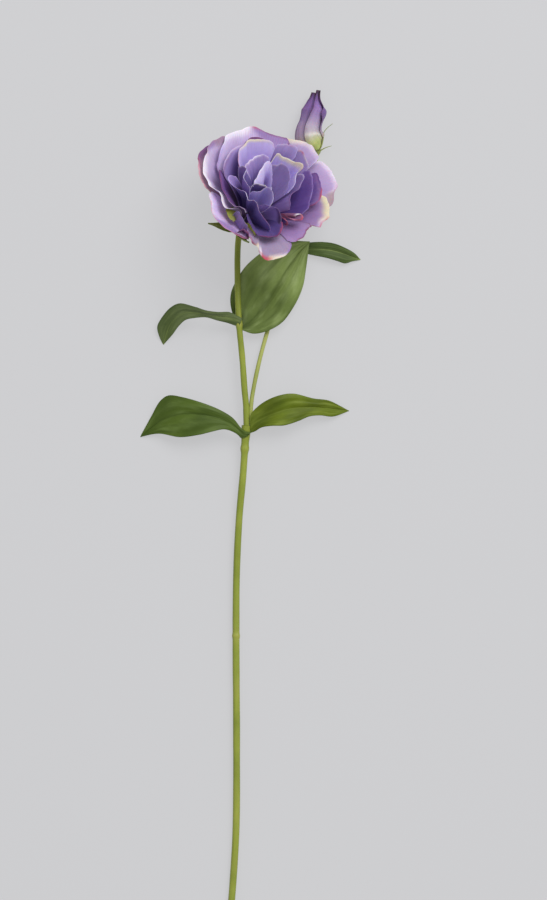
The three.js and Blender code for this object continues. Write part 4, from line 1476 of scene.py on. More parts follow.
PETALS = (
    Petal(
        node="petal_outer_left", layer=-1, flare=(60, 45),
        rim=[
            (-15, 43.5, 32), (-19.4, 41.6, 32), (-22.8, 39, 32), (-24, 34, 32), (-23.6, 28, 32.5),
            (-22.2, 23.3, 33), (-20, 19.3, 33.3), (-17.2, 16.8, 34),
        ],
        tones=BAND_TONES,
        margin=(
            (0, Margin.VIOLET, 1), (0.42, Margin.WINE, 1), (0.56, Margin.BLUSH, 0.8),
            (0.88, Margin.BLUSH, 0.8), (1, Margin.WINE, 1),
        ),
        paint=0.8,
        wash=(
            (0, Margin.PLUM, 7), (0.35, Margin.PLUM, 6), (0.46, Margin.ROSE, 3), (0.56, Margin.BLUSH, 3),
            (0.88, Margin.BLUSH, 2.6), (1, Margin.WINE, 3),
        ),
        lip=1.2, roll=((0, 75), (1, 60)),
    ),
    Petal(
        node="petal_outer_lower_left", layer=0, flare=(60, 58, 48),
        rim=[
            (-18.6, 18, 34.5), (-18.2, 15.5, 35), (-17.4, 12, 35.5), (-16.9, 8, 35.8), (-15.6, 4, 35.8),
            (-13.6, 0.8, 35.5), (-11.4, -1.6, 35.2), (-7.6, -4, 35), (-4.3, -5.8, 34.8),
            (-0.9, -7.7, 34.3), (3.2, -9, 33.5),
        ],
        tones=LOW_TONES,
        margin=(
            (0, Margin.LILAC, 0.6), (0.2, Margin.ROSE, 0.6), (0.7, Margin.ROSE, 0.6), (1, Margin.WINE, 1),
        ),
        paint=0.75,
        wash=(
            (0, Margin.PEARL, 3), (0.38, Margin.SHELL, 3), (0.5, Margin.MAUVE, 5),
            (0.62, Margin.MAUVE, 16), (0.76, Margin.MAUVE, 12), (0.82, Margin.WINE, 5),
            (1, Margin.WINE, 6),
        ),
        ruffle=0.25, lip=0.7,
    ),
    Petal(
        node="petal_outer_lower_right", layer=2, flare=(75, 70),
        rim=[
            (25.4, -11, 33.4), (26.8, -10.6, 33.4), (28.9, -9.7, 33.2), (32.7, -7.3, 32.6),
            (34.4, -5, 32), (37, -1.8, 31), (39, -0.5, 30.5),
        ],
        tones=SOFT_TONES,
        margin=(
            (0, Margin.MAUVE, 0.1), (0.12, Margin.MAUVE, 0.3), (0.25, Margin.WINE, 0.8),
            (1, Margin.WINE, 0.9),
        ),
        paint=0.9,
    ),
    Petal(
        node="petal_outer_right", layer=0, flare=(80, 85),
        rim=[
            (47.6, 8.8, 28.5), (49.5, 13, 28.5), (50.1, 18.3, 28.5), (52, 21.5, 28.5), (51, 25.5, 28.5),
            (50.1, 27.4, 28.5), (47, 31, 28), (43.5, 34.6, 28), (41, 36.8, 28.5),
        ],
        tones=FAR_TONES,
        margin=(
            (0, Margin.DUSK, 1), (0.3, Margin.DUSK, 1), (0.42, Margin.ROSE, 1.1),
            (0.55, Margin.PEARL, 1.5), (1, Margin.SHELL, 1.5),
        ),
        paint=0.7,
        wash=(
            (0, Margin.SAND, 7), (0.28, Margin.SAND, 7), (0.38, Margin.SHELL, 3), (0.6, Margin.SHELL, 4),
            (1, Margin.SHELL, 4),
        ),
        ruffle=0.4,
    ),
    Petal(
        node="petal_left", layer=1, flare=(50, 50),
        rim=[
            (-9.1, 48.4, 35), (-12, 47.2, 35.5), (-14.3, 45.8, 36), (-16.2, 45.4, 36.5), (-18, 43.6, 37),
            (-19.2, 41, 37.5), (-19.2, 38.6, 38), (-20.9, 36, 38.5), (-21.8, 32.1, 38.5),
            (-21.6, 27.5, 38.5), (-19.9, 24.2, 38.5), (-17.9, 20.5, 38.5), (-15, 18.4, 38.5),
            (-13.1, 17, 38.5), (-11.8, 14.6, 38.5), (-11.3, 11.4, 38.3), (-10, 8.9, 38),
            (-8.4, 7.9, 37.5), (-5.9, 7.9, 37.5), (-4.5, 8.4, 37.5),
        ],
        tones=PALE_TONES,
        margin=(
            (0, Margin.DUSK, 1), (0.25, Margin.DUSK, 1), (0.4, Margin.PEARL, 1.2),
            (0.8, Margin.PEARL, 1.4), (1, Margin.SHELL, 1),
        ),
        paint=0.7,
        wash=(
            (0, Margin.DUSK, 9), (0.12, Margin.DUSK, 7), (0.2, Margin.MAUVE, 5), (0.27, Margin.MAUVE, 3),
            (0.34, Margin.SHELL, 4), (0.45, Margin.PEARL, 6), (0.8, Margin.PEARL, 4.5),
            (1, Margin.SHELL, 2),
        ),
        corner=0.02,
    ),
    Petal(
        node="petal_lower_left", layer=1, flare=(-10, -14, -4),
        rim=[
            (-4.1, 5.9, 36.5), (-3, 6.9, 37), (-1.2, 4.4, 37), (0.4, 1.8, 36.8), (1.7, -0.4, 36.5),
            (2.8, -2.6, 36), (3.6, -4.6, 35.5),
        ],
        tones=FLAP_TONES, paint=0.3, ruffle=0.15, corner=0.1,
    ),
    Petal(
        node="petal_lower_left", layer=1, flare=(65, 65),
        rim=[(-10, 9, 34), (-8.6, 5.8, 34), (-7.2, 2.8, 34), (-6, 0, 33.5)],
        tones=CLAW_TONES, paint=0.0, ruffle=0.1,
    ),
    Petal(
        node="petal_lower_left", layer=2, flare=(-20, -20),
        rim=[(2.4, 2, 34.5), (4.2, -1.2, 34.5), (6.2, -4, 34.5), (8.4, -6, 34.5)],
        tones=CLAW_TONES, paint=0.0, ruffle=0.1,
    ),
    Petal(
        node="petal_lower_left", layer=1, flare=(10, 10),
        rim=[
            (-2.6, -4.4, 35.4), (-0.6, -3.4, 35.6), (1.6, -3.5, 35.6), (3.4, -5.2, 35.3),
            (4.2, -7.8, 34.8),
        ],
        tones=Tones("3a2648", "3a2648", "5a3458", "6a3f62", "5a3458"),
        margin=((0, Margin.PLUM, 0.7), (1, Margin.WINE, 1)), ruffle=0.15, lip=1.2,
        roll=((0, 130), (1, 90)),
    ),
    Petal(
        node="petal_bottom", layer=1, flare=(84, 88, 86),
        rim=[
            (1.5, -5.5, 33.5), (4.3, -7.8, 34), (5.4, -10.9, 34), (7.9, -13, 34), (9.2, -16.3, 33.5),
            (11.7, -19.2, 33), (14.2, -20.2, 33), (18.4, -19.6, 33.5), (23.4, -17.4, 33.4),
            (25.6, -14.4, 32.6), (26.6, -12, 31.8), (27.4, -10.4, 31.2),
        ],
        tones=FOOT_TONES,
        margin=(
            (0, Margin.LILAC, 1), (0.12, Margin.ROSE, 1), (0.17, Margin.WINE, 1.6),
            (0.24, Margin.CREAM, 1.2), (0.31, Margin.WINE, 1.6), (0.37, Margin.EMBER, 2),
            (0.48, Margin.EMBER, 2.4), (0.56, Margin.CREAM, 1.4), (0.7, Margin.CREAM, 0.9),
            (0.8, Margin.MAUVE, 0.4), (1, Margin.MAUVE, 0.1),
        ),
        paint=0.85,
        # the wide shell and pearl wash a third of the way along is painted light over the shade cast here
        wash=(
            (0, Margin.MAUVE, 3), (0.16, Margin.WINE, 1.6), (0.21, Margin.WINE, 1.6),
            (0.25, Margin.CREAM, 5), (0.31, Margin.SHELL, 8), (0.35, Margin.PEARL, 8.5),
            (0.38, Margin.EMBER, 2.4), (0.45, Margin.EMBER, 2.6), (0.49, Margin.CREAM, 4.2),
            (0.7, Margin.SHELL, 2.5), (0.8, Margin.MAUVE, 2), (1, Margin.MAUVE, 3),
        ),
    ),
    Petal(
        node="petal_right_lower", layer=1, flare=(70, 80),
        rim=[
            (37.9, -1, 30.5), (41.1, -1.7, 31), (42.2, -1.4, 31), (43.3, 0.8, 31.2), (46.6, 3.4, 31),
            (47.4, 6, 31), (47.5, 8.1, 31), (46.6, 11.8, 30.8), (44.6, 15.5, 30.5), (43, 17, 30),
        ],
        tones=SOFT_TONES,
        margin=(
            (0, Margin.WINE, 0.8), (0.15, Margin.EMBER, 1.2), (0.28, Margin.ROSE, 1.3),
            (0.38, Margin.EMBER, 1), (0.5, Margin.CREAM, 1.5), (1, Margin.CREAM, 1.5),
        ),
        paint=0.8,
        wash=(
            (0, Margin.MAUVE, 2), (0.2, Margin.SHELL, 3), (0.4, Margin.CREAM, 5.2),
            (0.6, Margin.BUTTER, 5.8), (1, Margin.BUTTER, 5),
        ),
        ruffle=0.35,
    ),
    Petal(
        node="petal_upper_right", layer=1, flare=(70, 70),
        rim=[
            (38.5, 32.5, 33), (41.2, 36.6, 34), (40, 40.4, 35.5), (37.5, 43.7, 36), (34.2, 45, 36),
            (28.7, 46.6, 35), (24.7, 47.3, 33.5), (20.5, 48, 31.5),
        ],
        tones=FAR_TONES,
        margin=((0, Margin.SHELL, 1.2), (0.4, Margin.CREAM, 1.4), (1, Margin.CREAM, 1.4)), paint=0.4,
        wash=(
            (0, Margin.LILAC, 3), (0.4, Margin.SHELL, 4), (0.8, Margin.CREAM, 3.5), (1, Margin.CREAM, 3),
        ),
        ruffle=0.4,
    ),
    Petal(
        node="petal_top", layer=2, flare=(50, 70),
        rim=[
            (-14.7, 30, 36), (-14.5, 31.5, 36), (-13.6, 34.2, 36.5), (-13.1, 36.7, 37), (-12.2, 39.8, 37),
            (-10.1, 44, 36.5), (-9.4, 47.9, 36), (-6, 49.8, 35), (-1, 51.8, 34), (4.5, 54, 33.5),
            (10, 51.8, 34), (15.5, 49.3, 35.5), (22, 48, 36.2), (27, 47.2, 36.4),
        ],
        tones=TOP_TONES,
        margin=(
            (0, Margin.WINE, 1), (0.15, Margin.LILAC, 1), (0.35, Margin.PEARL, 1.4),
            (0.62, Margin.PEARL, 2), (0.66, Margin.EMBER, 1.4), (0.7, Margin.EMBER, 1),
            (0.76, Margin.WINE, 0.8), (1, Margin.WINE, 1.2),
        ),
        paint=0.75,
        wash=(
            (0, Margin.LILAC, 3), (0.2, Margin.LILAC, 3), (0.35, Margin.PEARL, 4), (0.6, Margin.PEARL, 6),
            (0.68, Margin.MAUVE, 5), (0.76, Margin.MAUVE, 9), (1, Margin.MAUVE, 12),
        ),
    ),
    Petal(
        node="petal_inner_left", layer=3, flare=(45, 45),
        rim=[
            (-13.6, 31, 40), (-13, 27, 40.5), (-11.9, 21.6, 40.5), (-9.4, 14.6, 40), (-6.6, 10.7, 39.5),
            (-4.2, 8.8, 39), (-1.5, 9, 38.7), (0.4, 7.6, 38.5), (1.1, 5.4, 38),
        ],
        tones=SHADE_TONES,
        margin=(
            (0, Margin.WINE, 1.4), (0.2, Margin.WINE, 1.2), (0.6, Margin.PLUM, 1),
            (0.8, Margin.SHELL, 0.8), (1, Margin.PEARL, 0.9),
        ),
        wash=(
            (0, Margin.PLUM, 1), (0.45, Margin.PLUM, 2), (0.62, Margin.PLUM, 7), (0.9, Margin.PLUM, 8),
            (1, Margin.PLUM, 3),
        ),
    ),
    Petal(
        node="petal_inner_bottom", layer=3, flare=(50, 55),
        rim=[
            (1.6, 4, 37.8), (2.9, 1.2, 37.8), (4.6, -1.8, 37.6), (6.6, -4.6, 37.2), (8.4, -6.4, 36.8),
            (11, -7.2, 36.5), (14.8, -7.7, 36.5), (18, -7.2, 36.6), (20.4, -5.2, 36.9), (21.8, -2.8, 37),
            (23, -0.4, 37),
        ],
        tones=INDIGO_TONES,
        margin=(
            (0, Margin.VIOLET, 0.4), (0.35, Margin.VIOLET, 0.6), (0.5, Margin.WINE, 0.8),
            (0.72, Margin.WINE, 1), (0.85, Margin.EMBER, 1.5), (1, Margin.EMBER, 1.8),
        ),
        paint=0.8,
    ),
    Petal(
        node="petal_inner_lower_right", layer=4, flare=(45, 45),
        rim=[
            (24.4, 4.4, 36.5), (25.8, 2.8, 36.8), (27.6, 1.9, 37), (29.4, 1.7, 37), (30.8, 1.8, 37.2),
            (32.2, 2.3, 37.4), (32.8, 3.6, 37.5), (32.2, 5, 37.5), (30.9, 5.2, 37.3), (30.1, 4.3, 37),
            (30.5, 3.4, 36.8),
        ],
        tones=Tones("1c1020", "2c1830", "6a4468", "845a80", "8a5a74"),
        margin=(
            (0, Margin.WINE, 1), (0.25, Margin.ROSE, 1.2), (0.45, Margin.WINE, 1), (0.6, Margin.EMBER, 1),
            (0.75, Margin.EMBER, 1), (0.88, Margin.PEARL, 1.5), (0.96, Margin.WINE, 0.4),
            (1, Margin.WINE, 0.2),
        ),
        paint=0.85,
        wash=(
            (0, Margin.WINE, 4), (0.3, Margin.ROSE, 3), (0.5, Margin.WINE, 3), (0.7, Margin.ROSE, 1.6),
            (0.88, Margin.PEARL, 1.6), (1, Margin.WINE, 2),
        ),
        ruffle=0.1, lip=0.6, roll=((0, 70), (0.5, 60), (1, 40)),
    ),
    Petal(
        node="petal_inner_lower_right", layer=4, flare=(45, 45),
        rim=[(20.9, 4, 36.5), (22.2, 3.3, 37.2), (23.6, 2.2, 37.4), (24.9, 0.6, 37), (25.6, -1.8, 36)],
        tones=DEEP_TONES, margin=((0, Margin.WINE, 1.2), (0.5, Margin.EMBER, 1.2), (1, Margin.WINE, 1.2)),
        paint=0.85, wash=((0, Margin.WINE, 3), (0.5, Margin.ROSE, 3), (1, Margin.WINE, 3)), ruffle=0.2,
        lip=1.4, roll=((0, 60), (1, 120)),
    ),
    Petal(
        node="petal_inner_right", layer=3, flare=(35, 40),
        rim=[
            (37.1, 28.9, 36.5), (39.7, 27.8, 36.5), (41.9, 23.8, 36.5), (43, 19.4, 36.5),
            (42.8, 17.6, 36.5), (42.4, 15, 36), (40.4, 11, 35.5), (39, 10.3, 35),
        ],
        tones=DEEP_TONES,
        margin=(
            (0, Margin.VIOLET, 0.8), (0.45, Margin.VIOLET, 0.8), (0.55, Margin.EMBER, 1.1),
            (0.8, Margin.EMBER, 1.2), (1, Margin.WINE, 1.4),
        ),
        paint=0.85,
        wash=((0, Margin.PLUM, 3), (0.5, Margin.MAUVE, 4), (0.85, Margin.MAUVE, 7), (1, Margin.WINE, 4)),
    ),
    Petal(
        node="petal_back_right", layer=3, flare=(35, 35),
        rim=[
            (16.5, 43.6, 39.5), (19.4, 43.9, 40), (23.3, 43.7, 40.3), (26.4, 43, 40.3),
            (28.8, 42.2, 40.1), (30.1, 40.8, 39.8), (30.4, 39, 39.3),
        ],
        tones=MIDDLE_TONES,
        margin=(
            (0, Margin.LILAC, 1), (0.4, Margin.SHELL, 1), (0.6, Margin.ROSE, 0.7),
            (0.8, Margin.SHELL, 1.2), (1, Margin.LILAC, 1),
        ),
    ),
    Petal(
        node="petal_back_left", layer=4, flare=(40, 42),
        rim=[
            (-10.6, 26.8, 40), (-10.5, 29.3, 40.3), (-9.8, 32.4, 40.6), (-8.4, 36, 41),
            (-5.9, 39.5, 41.3), (-3.1, 41.9, 41.5), (0, 43.4, 41.3), (2, 45.6, 40.5), (4, 46.7, 40),
            (9.5, 46.9, 40), (14, 46, 40),
        ],
        tones=MIDDLE_TONES,
        margin=(
            (0, Margin.LILAC, 1), (0.3, Margin.SHELL, 1.2), (0.55, Margin.SHELL, 1.2),
            (0.68, Margin.WINE, 0.9), (1, Margin.WINE, 0.9),
        ),
        paint=0.6,
        wash=(
            (0, Margin.PLUM, 2), (0.25, Margin.MAUVE, 3.5), (0.5, Margin.LILAC, 3), (0.7, Margin.PLUM, 3),
            (1, Margin.PLUM, 3),
        ),
    ),
    Petal(
        node="petal_right", layer=4, flare=(35, 35),
        rim=[(29.8, 42.2, 38.5), (32, 40.2, 39), (34.2, 36.6, 39), (35.7, 33.6, 38.8), (36.4, 29.5, 38)],
        tones=SIDE_TONES,
        margin=(
            (0, Margin.CREAM, 1), (0.3, Margin.EMBER, 0.8), (0.45, Margin.CREAM, 1), (1, Margin.LILAC, 1),
        ),
        paint=0.6,
    ),
    Petal(
        node="petal_heart_back", layer=5, flare=(45, 40, 35),
        rim=[
            (-2.3, 31.4, 43.5), (-2.7, 34.5, 44), (-2.5, 37.4, 44), (-2.2, 39.6, 43.8), (0.2, 42.2, 43),
            (1.6, 44, 42.3), (2.6, 45.2, 42), (6.5, 45.9, 42), (11, 46, 42), (14, 45.4, 42),
            (16.5, 44.2, 42), (18.5, 43.4, 41.5),
        ],
        tones=HEART_TONES,
        margin=(
            (0, Margin.EMBER, 0.7), (0.14, Margin.ROSE, 0.8), (0.25, Margin.SHELL, 0.8),
            (0.45, Margin.CREAM, 1.2), (0.7, Margin.CREAM, 1.1), (1, Margin.LILAC, 1),
        ),
        paint=0.65,
        wash=(
            (0, Margin.LILAC, 2), (0.3, Margin.SHELL, 2), (0.45, Margin.CREAM, 2.4),
            (0.7, Margin.CREAM, 2), (1, Margin.LILAC, 2),
        ),
    ),
    Petal(
        node="petal_heart_front", layer=5, flare=(50, 48, 34, 14, 12, 12, 12),
        rim=[
            (-5.1, 27.1, 42), (-7, 26.1, 42), (-7.7, 24.2, 42.3), (-6.7, 21.6, 43), (-4.1, 19.6, 43.3),
            (-1.5, 17.8, 43.5), (0.4, 17.4, 43.5), (1.7, 16.4, 43.5), (2.3, 14.1, 43.5), (3, 12.6, 43.5),
            (4.6, 12.4, 43.5), (6.5, 12.5, 43.5), (7.8, 11.2, 43.3), (8.5, 8.7, 43), (9.1, 6.1, 42),
            (11, 3.5, 41), (13, 0.6, 39.5), (16, -3.2, 36.5),
        ],
        tones=FOLD_TONES,
        margin=(
            (0, Margin.LILAC, 0.8), (0.35, Margin.LILAC, 0.8), (0.45, Margin.PEARL, 1),
            (0.6, Margin.SHELL, 0.8), (0.8, Margin.ROSE, 0.7), (1, Margin.LILAC, 0.8),
        ),
        paint=0.6, ruffle=0.15, lip=0.7,
    ),
    Petal(
        node="petal_heart_front", layer=6, flare=(10, 20),
        rim=[
            (8.5, 10.3, 42.5), (11, 10, 42.3), (15.2, 9.1, 41.5), (18.5, 8, 40.5), (20.4, 5.1, 39),
            (20.9, 2.2, 37.5), (20.6, -1, 36),
        ],
        tones=Tones("241838", "4a3a70", "8a75b2", "8a75b2", "8a74b4"), paint=0.3,
        wash=(
            (0, Margin.VIOLET, 1), (0.5, Margin.VIOLET, 2), (0.8, Margin.DUSKY, 7), (1, Margin.DUSKY, 8),
        ),
        ruffle=0.15, lip=0.5,
    ),
    Petal(
        node="petal_heart_right", layer=5, flare=(25, 20),
        rim=[
            (35.5, 31, 38.5), (37.1, 28.4, 39), (37.6, 25, 39), (37.9, 21.5, 39), (37.5, 16.5, 38.5),
            (36, 11, 37.5), (34, 6, 36),
        ],
        tones=DEEP_TONES, paint=0.3,
    ),
    Petal(
        node="petal_core_left", layer=6, flare=(10, 10),
        rim=[
            (-1.9, 32.2, 45), (-0.2, 31.6, 45.5), (1.4, 30.3, 45.8), (2.1, 28.8, 46), (1.3, 27.3, 46),
            (0.9, 24.8, 46), (1.7, 22.9, 46), (3, 20.9, 45.8), (3.9, 19.3, 45.5), (4.4, 16.5, 44.5),
        ],
        tones=Tones("2f2148", "4c3a86", "8a76b4", "a594cc", "7c64a4"),
        margin=((0, Margin.SHELL, 0.8), (0.6, Margin.PEARL, 0.9), (1, Margin.LILAC, 0.8)), paint=0.6,
        ruffle=0.15, lip=0.6,
    ),
    Petal(
        node="petal_core_left", layer=7, flare=(50, 40, 28),
        rim=[
            (1.4, 28.5, 45.5), (1.3, 31.6, 46), (3, 33.2, 46.3), (6.5, 36.1, 46.3), (9.1, 37.1, 46),
            (11.2, 37.4, 45.8), (14, 36.4, 45.5), (15.9, 36, 45),
        ],
        tones=Tones("1a1230", "2a1c4c", "8873b0", "a08cc2", "9584c4", (0.5, 0.8)),
        margin=((0, Margin.SHELL, 1.1), (0.6, Margin.PEARL, 1.1), (1, Margin.LILAC, 0.8)), paint=0.75,
        ruffle=0.15,
    ),
    Petal(
        node="petal_core_right", layer=7, flare=(20, 10),
        rim=[
            (15.9, 35.1, 44.5), (17.5, 36.6, 45), (18.8, 37.8, 45.2), (20.2, 37.8, 45.2),
            (21.2, 36.5, 45.2), (22.6, 35.7, 45), (24.9, 35.3, 44.8), (26.9, 34.5, 44.5),
            (28.4, 33.5, 44.3), (31.3, 33.3, 44), (32.8, 31.8, 43.5), (32.3, 30, 43.2), (30.2, 28.5, 43),
            (28.9, 25.6, 42.5), (28.5, 22, 42), (27.2, 19.8, 41.5), (25.7, 17.7, 41),
        ],
        tones=HEART_TONES,
        margin=(
            (0, Margin.CREAM, 1.2), (0.5, Margin.CREAM, 1.4), (0.62, Margin.EMBER, 0.7),
            (0.7, Margin.LILAC, 0.4), (1, Margin.LILAC, 0.3),
        ),
        wash=(
            (0, Margin.CREAM, 2), (0.4, Margin.CREAM, 4), (0.5, Margin.CREAM, 6),
            (0.6, Margin.CREAM, 4.5), (0.66, Margin.SHELL, 2), (1, Margin.LILAC, 1),
        ),
        ruffle=0.2,
    ),
    Petal(
        node="petal_core_right", layer=6, flare=(20, 20),
        rim=[
            (30.9, 28.8, 40.5), (32.8, 27.1, 40.5), (33.1, 24.9, 40.5), (32, 22, 40.3), (30.6, 19.1, 40),
            (28.4, 17.6, 40), (26.6, 16.1, 39.5), (25.8, 14, 39), (26.2, 11, 38.5), (26.9, 8.1, 37.5),
        ],
        tones=LOBE_TONES,
        margin=(
            (0, Margin.SHELL, 1), (0.3, Margin.LILAC, 0.8), (0.5, Margin.PLUM, 1.8),
            (1, Margin.PLUM, 1.2),
        ),
        paint=0.6, ruffle=0.2,
    ),
    Petal(
        node="petal_core_front", layer=7, flare=(5, 5),
        rim=[
            (4.2, 17.2, 44.2), (5.7, 17.7, 44.8), (7.9, 17.1, 45), (10.2, 17.5, 45.3), (11.7, 18.8, 45.8),
            (13.4, 19.5, 46), (15.5, 18.1, 45.8), (16.5, 15.8, 45.3), (16.3, 12, 44.3), (15.3, 9.3, 43.3),
        ],
        tones=CURL_TONES,
        margin=(
            (0, Margin.LILAC, 0.8), (0.4, Margin.SHELL, 0.8), (0.6, Margin.PEARL, 1),
            (0.9, Margin.PEARL, 1.1), (1, Margin.SHELL, 1),
        ),
        paint=0.6, ruffle=0.15,
    ),
    Petal(
        node="petal_centre_right", layer=8, flare=(10, 10),
        rim=[
            (14.9, 33, 45.5), (16.9, 31.9, 46), (19.1, 31.7, 46), (21.4, 32.8, 46), (24, 30.8, 45.5),
            (25.6, 27.7, 45), (25.7, 24.2, 44), (24.7, 20.9, 43), (23.6, 16.5, 41.5),
        ],
        tones=Tones("2f2148", "44346e", "8d7ab2", "9482b8", "a797d4", (0.3, 0.75)),
        margin=(
            (0, Margin.SHELL, 0.8), (0.3, Margin.SHELL, 1), (0.4, Margin.LILAC, 0.1),
            (1, Margin.LILAC, 0.05),
        ),
        paint=0.4, ruffle=0.15, lip=0.35,
    ),
    Petal(
        node="petal_centre_front", layer=8, flare=(5, 5),
        rim=[
            (5.2, 21, 45.3), (6.3, 21.4, 46.3), (7.8, 21.5, 47.3), (9.6, 21, 47.8), (11.8, 20.6, 47.8),
            (13.4, 20.5, 47.5), (14.9, 19.8, 47),
        ],
        tones=Tones("161024", "2a2148", "8a74b4", "9a86c0", "463870", (0.6, 0.85)),
        margin=((0, Margin.PEARL, 0.9), (0.6, Margin.PEARL, 1.2), (1, Margin.PEARL, 1.6)), paint=0.9,
        ruffle=0.1,
    ),
    Petal(
        node="petal_centre", layer=9, flare=(48, 46, 40, 30, 20),
        rim=[
            (4.4, 20.6, 45.6), (6.8, 23.6, 46.8), (8.8, 26.6, 47.6), (10.8, 29.8, 48), (12.8, 33, 48),
            (14.4, 33.7, 47.8), (15.6, 31.6, 47.2), (16, 28, 46.2), (16, 24, 45), (15.8, 20, 43.5),
        ],
        tones=Tones("4c3a86", "5a4894", "a593cc", "c8bce2", "9584c4", (0.4, 0.85)),
        margin=(
            (0, Margin.SHELL, 0.9), (0.4, Margin.PEARL, 1), (0.6, Margin.LILAC, 0.7),
            (1, Margin.LILAC, 0.5),
        ),
        paint=0.55, ruffle=0.1,
    ),
)


# ---- receptacle and calyx of the bloom ----


@dataclass(frozen=True)
class Turned:
    """A solid turned about the bloom's axis, with faint ribs, from a profile of radii and heights."""

    profile: Knots
    sides: int = 60
    ribs: int = 5
    rib_depth: float = 0.05
    rows: int = 41

    def mesh(self, name: str) -> bpy.types.Mesh:
        """The closed mesh, with what a leaf's finish reads.

        Args:
            name: the mesh's name.

        Returns:
            The mesh.
        """
        outline = Curve([(r, h, 0) for r, h in self.profile]).at(np.linspace(0, 1, self.rows))[1:-1, :2]
        turns = np.arange(self.sides) * 360 / self.sides
        rings = []
        for turn in turns:
            grown = outline[:, 0] * (1 + self.rib_depth * math.sin(math.radians(turn * self.ribs)))
            rings.append(BLOOM.about(grown, turn, outline[:, 1]))
        grid = np.stack(rings, axis=1)
        ends = [BLOOM.about(np.zeros(1), 0, np.array([self.profile[k][1]]))[0] for k in (0, -1)]
        rows, columns = grid.shape[:2]
        at = np.arange(rows * columns).reshape(rows, columns)
        nxt = np.roll(at, -1, axis=1)
        quads = np.stack([at[:-1], nxt[:-1], nxt[1:], at[1:]], axis=2).reshape(-1, 4)
        low, high = rows * columns, rows * columns + 1
        caps = [(low, int(b), int(a)) for a, b in zip(at[0], nxt[0])]
        caps += [(high, int(a), int(b)) for a, b in zip(at[-1], nxt[-1])]
        points = placed(np.concatenate([grid.reshape(-1, 3), ends])) * MM
        made = bpy.data.meshes.new(name)
        made.from_pydata(points.tolist(), [], [*map(tuple, quads.tolist()), *caps])
        made.update()
        facing_out(made)
        made.polygons.foreach_set("use_smooth", [True] * len(made.polygons))
        made.uv_layers.new(name="sheet")
        for attribute in ("rib", "lift", "outer"):
            write_values(made, attribute, np.zeros(len(made.vertices)))
        return made


def facing_out(mesh: bpy.types.Mesh) -> None:
    """Turns the faces of a closed mesh outwards.

    Args:
        mesh: the mesh.
    """
    work = bmesh.new()
    work.from_mesh(mesh)
    bmesh.ops.recalc_face_normals(work, faces=work.faces)
    work.to_mesh(mesh)
    work.free()


@dataclass(frozen=True)
class Sepal:
    """A pointed sepal that springs from the calyx cup, at turn degrees from the bloom's low side.

    Its root and its tip are each a radius and a height. Keel is how far its margins bend up.
    """

    turn: float
    tip: tuple[float, float]
    half_width: float
    root: tuple[float, float] = (3.4, -2.0)
    keel: float = 0.5
    thickness: float = 0.5
    rows: int = 44
    columns: int = 25

    LEAST_HALF_WIDTH = 0.12
    RIB_WIDTH = 0.35

    def skin(self) -> Skin:
        """The sepal, keeled along its middle.

        Returns:
            Its skin.
        """
        u = np.linspace(0, 1, self.rows)
        side = np.linspace(-1, 1, self.columns)
        knee = (self.tip[0] * 0.5, self.tip[1] * 0.2 - 2.2)
        r, h = (bezier(self.root[k], knee[k], knee[k], self.tip[k], u) for k in (0, 1))
        line = BLOOM.about(r, self.turn, h)
        half = self.half_width * (0.75 + 0.6 * u) * (1 - u**1.6) + self.LEAST_HALF_WIDTH
        a = math.radians(self.turn)
        sideways = BLOOM.across * math.cos(a) - BLOOM.low_side * math.sin(a)
        flat = line[:, None] + (half[:, None] * side[None, :])[..., None] * sideways
        along = np.broadcast_to(u[:, None], flat.shape[:2])
        across = np.broadcast_to(side[None, :], flat.shape[:2])
        ripple = 0.15 * wave(along * 20, 5.0, int(self.turn)) * across**2
        dip = self.keel * (np.abs(across) ** 1.5) + ripple
        rib = np.exp(-((across * half[:, None] / self.RIB_WIDTH) ** 2))
        points = placed(flat + sheet_normals(flat, BLOOM.axis) * dip[..., None])
        thickness = self.thickness * (1 - 0.55 * np.abs(across) ** 4) + 0.2 * rib
        seen = {"rib": rib * 0.6, "lift": along**2}
        return Skin(points, thickness, BLOOM.axis, along * 4, across, seen)


@dataclass
class Bloom:
    """The open bloom: receptacle, calyx and petals, whose layers count from the outermost ring."""

    MIDDLE_LAYER = 3
    HEART_LAYER = 5

    receptacle: Turned = Turned(((0, 0.3), (4.6, 0.3), (5.1, 0.7), (3.1, 3.1), (0.7, 6.1), (0, 6.4)))
    cup: Turned = Turned(((0, -3.4), (1.5, -3.4), (2.4, -2.9), (3.6, -2.2), (4.7, -0.9), (5, -0.3), (0, 0)))
    sepals: tuple[Sepal, ...] = (
        Sepal(141, (24, 6), 4),
        Sepal(204, (21.5, 16), 3.4),
        Sepal(280, (17, 12.5), 3),
        Sepal(352, (19, 8.5), 3),
        Sepal(66, (17, 12), 3),
    )
    petals: tuple[Petal, ...] = PETALS

    def build(self) -> None:
        """Makes every piece of the bloom."""
        green = LeafFinish("calyx_green", "7f8c34", "5f6d26", "9aa548", "a9b266", streak=0.2).make()
        piece(self.receptacle.mesh("receptacle"), green, "receptacle")
        blades = [sepal.skin().mesh("sepal") for sepal in self.sepals]
        piece(joined("calyx", [self.cup.mesh("calyx_cup"), *blades]), green, "calyx")
        finishes = {
            "petal_outer": PetalFinish("petal_outer").make(),
            "petal_middle": PetalFinish("petal_middle").make(),
            "petal_heart": PetalFinish("petal_heart").make(),
        }
        for node in dict.fromkeys(petal.node for petal in self.petals):
            lobes = [petal for petal in self.petals if petal.node == node]
            slot = self.slot_of(lobes[0])
            meshes = [lobe.skin().mesh(node) for lobe in lobes]
            piece(joined(node, meshes) if len(meshes) > 1 else meshes[0], finishes[slot], node)

    def slot_of(self, petal: Petal) -> str:
        """The record's slot for a petal.

        Args:
            petal: the petal.

        Returns:
            The slot of its layer.
        """
        if petal.layer < self.MIDDLE_LAYER:
            return "petal_outer"
        return "petal_middle" if petal.layer < self.HEART_LAYER else "petal_heart"


# ---- bud ----


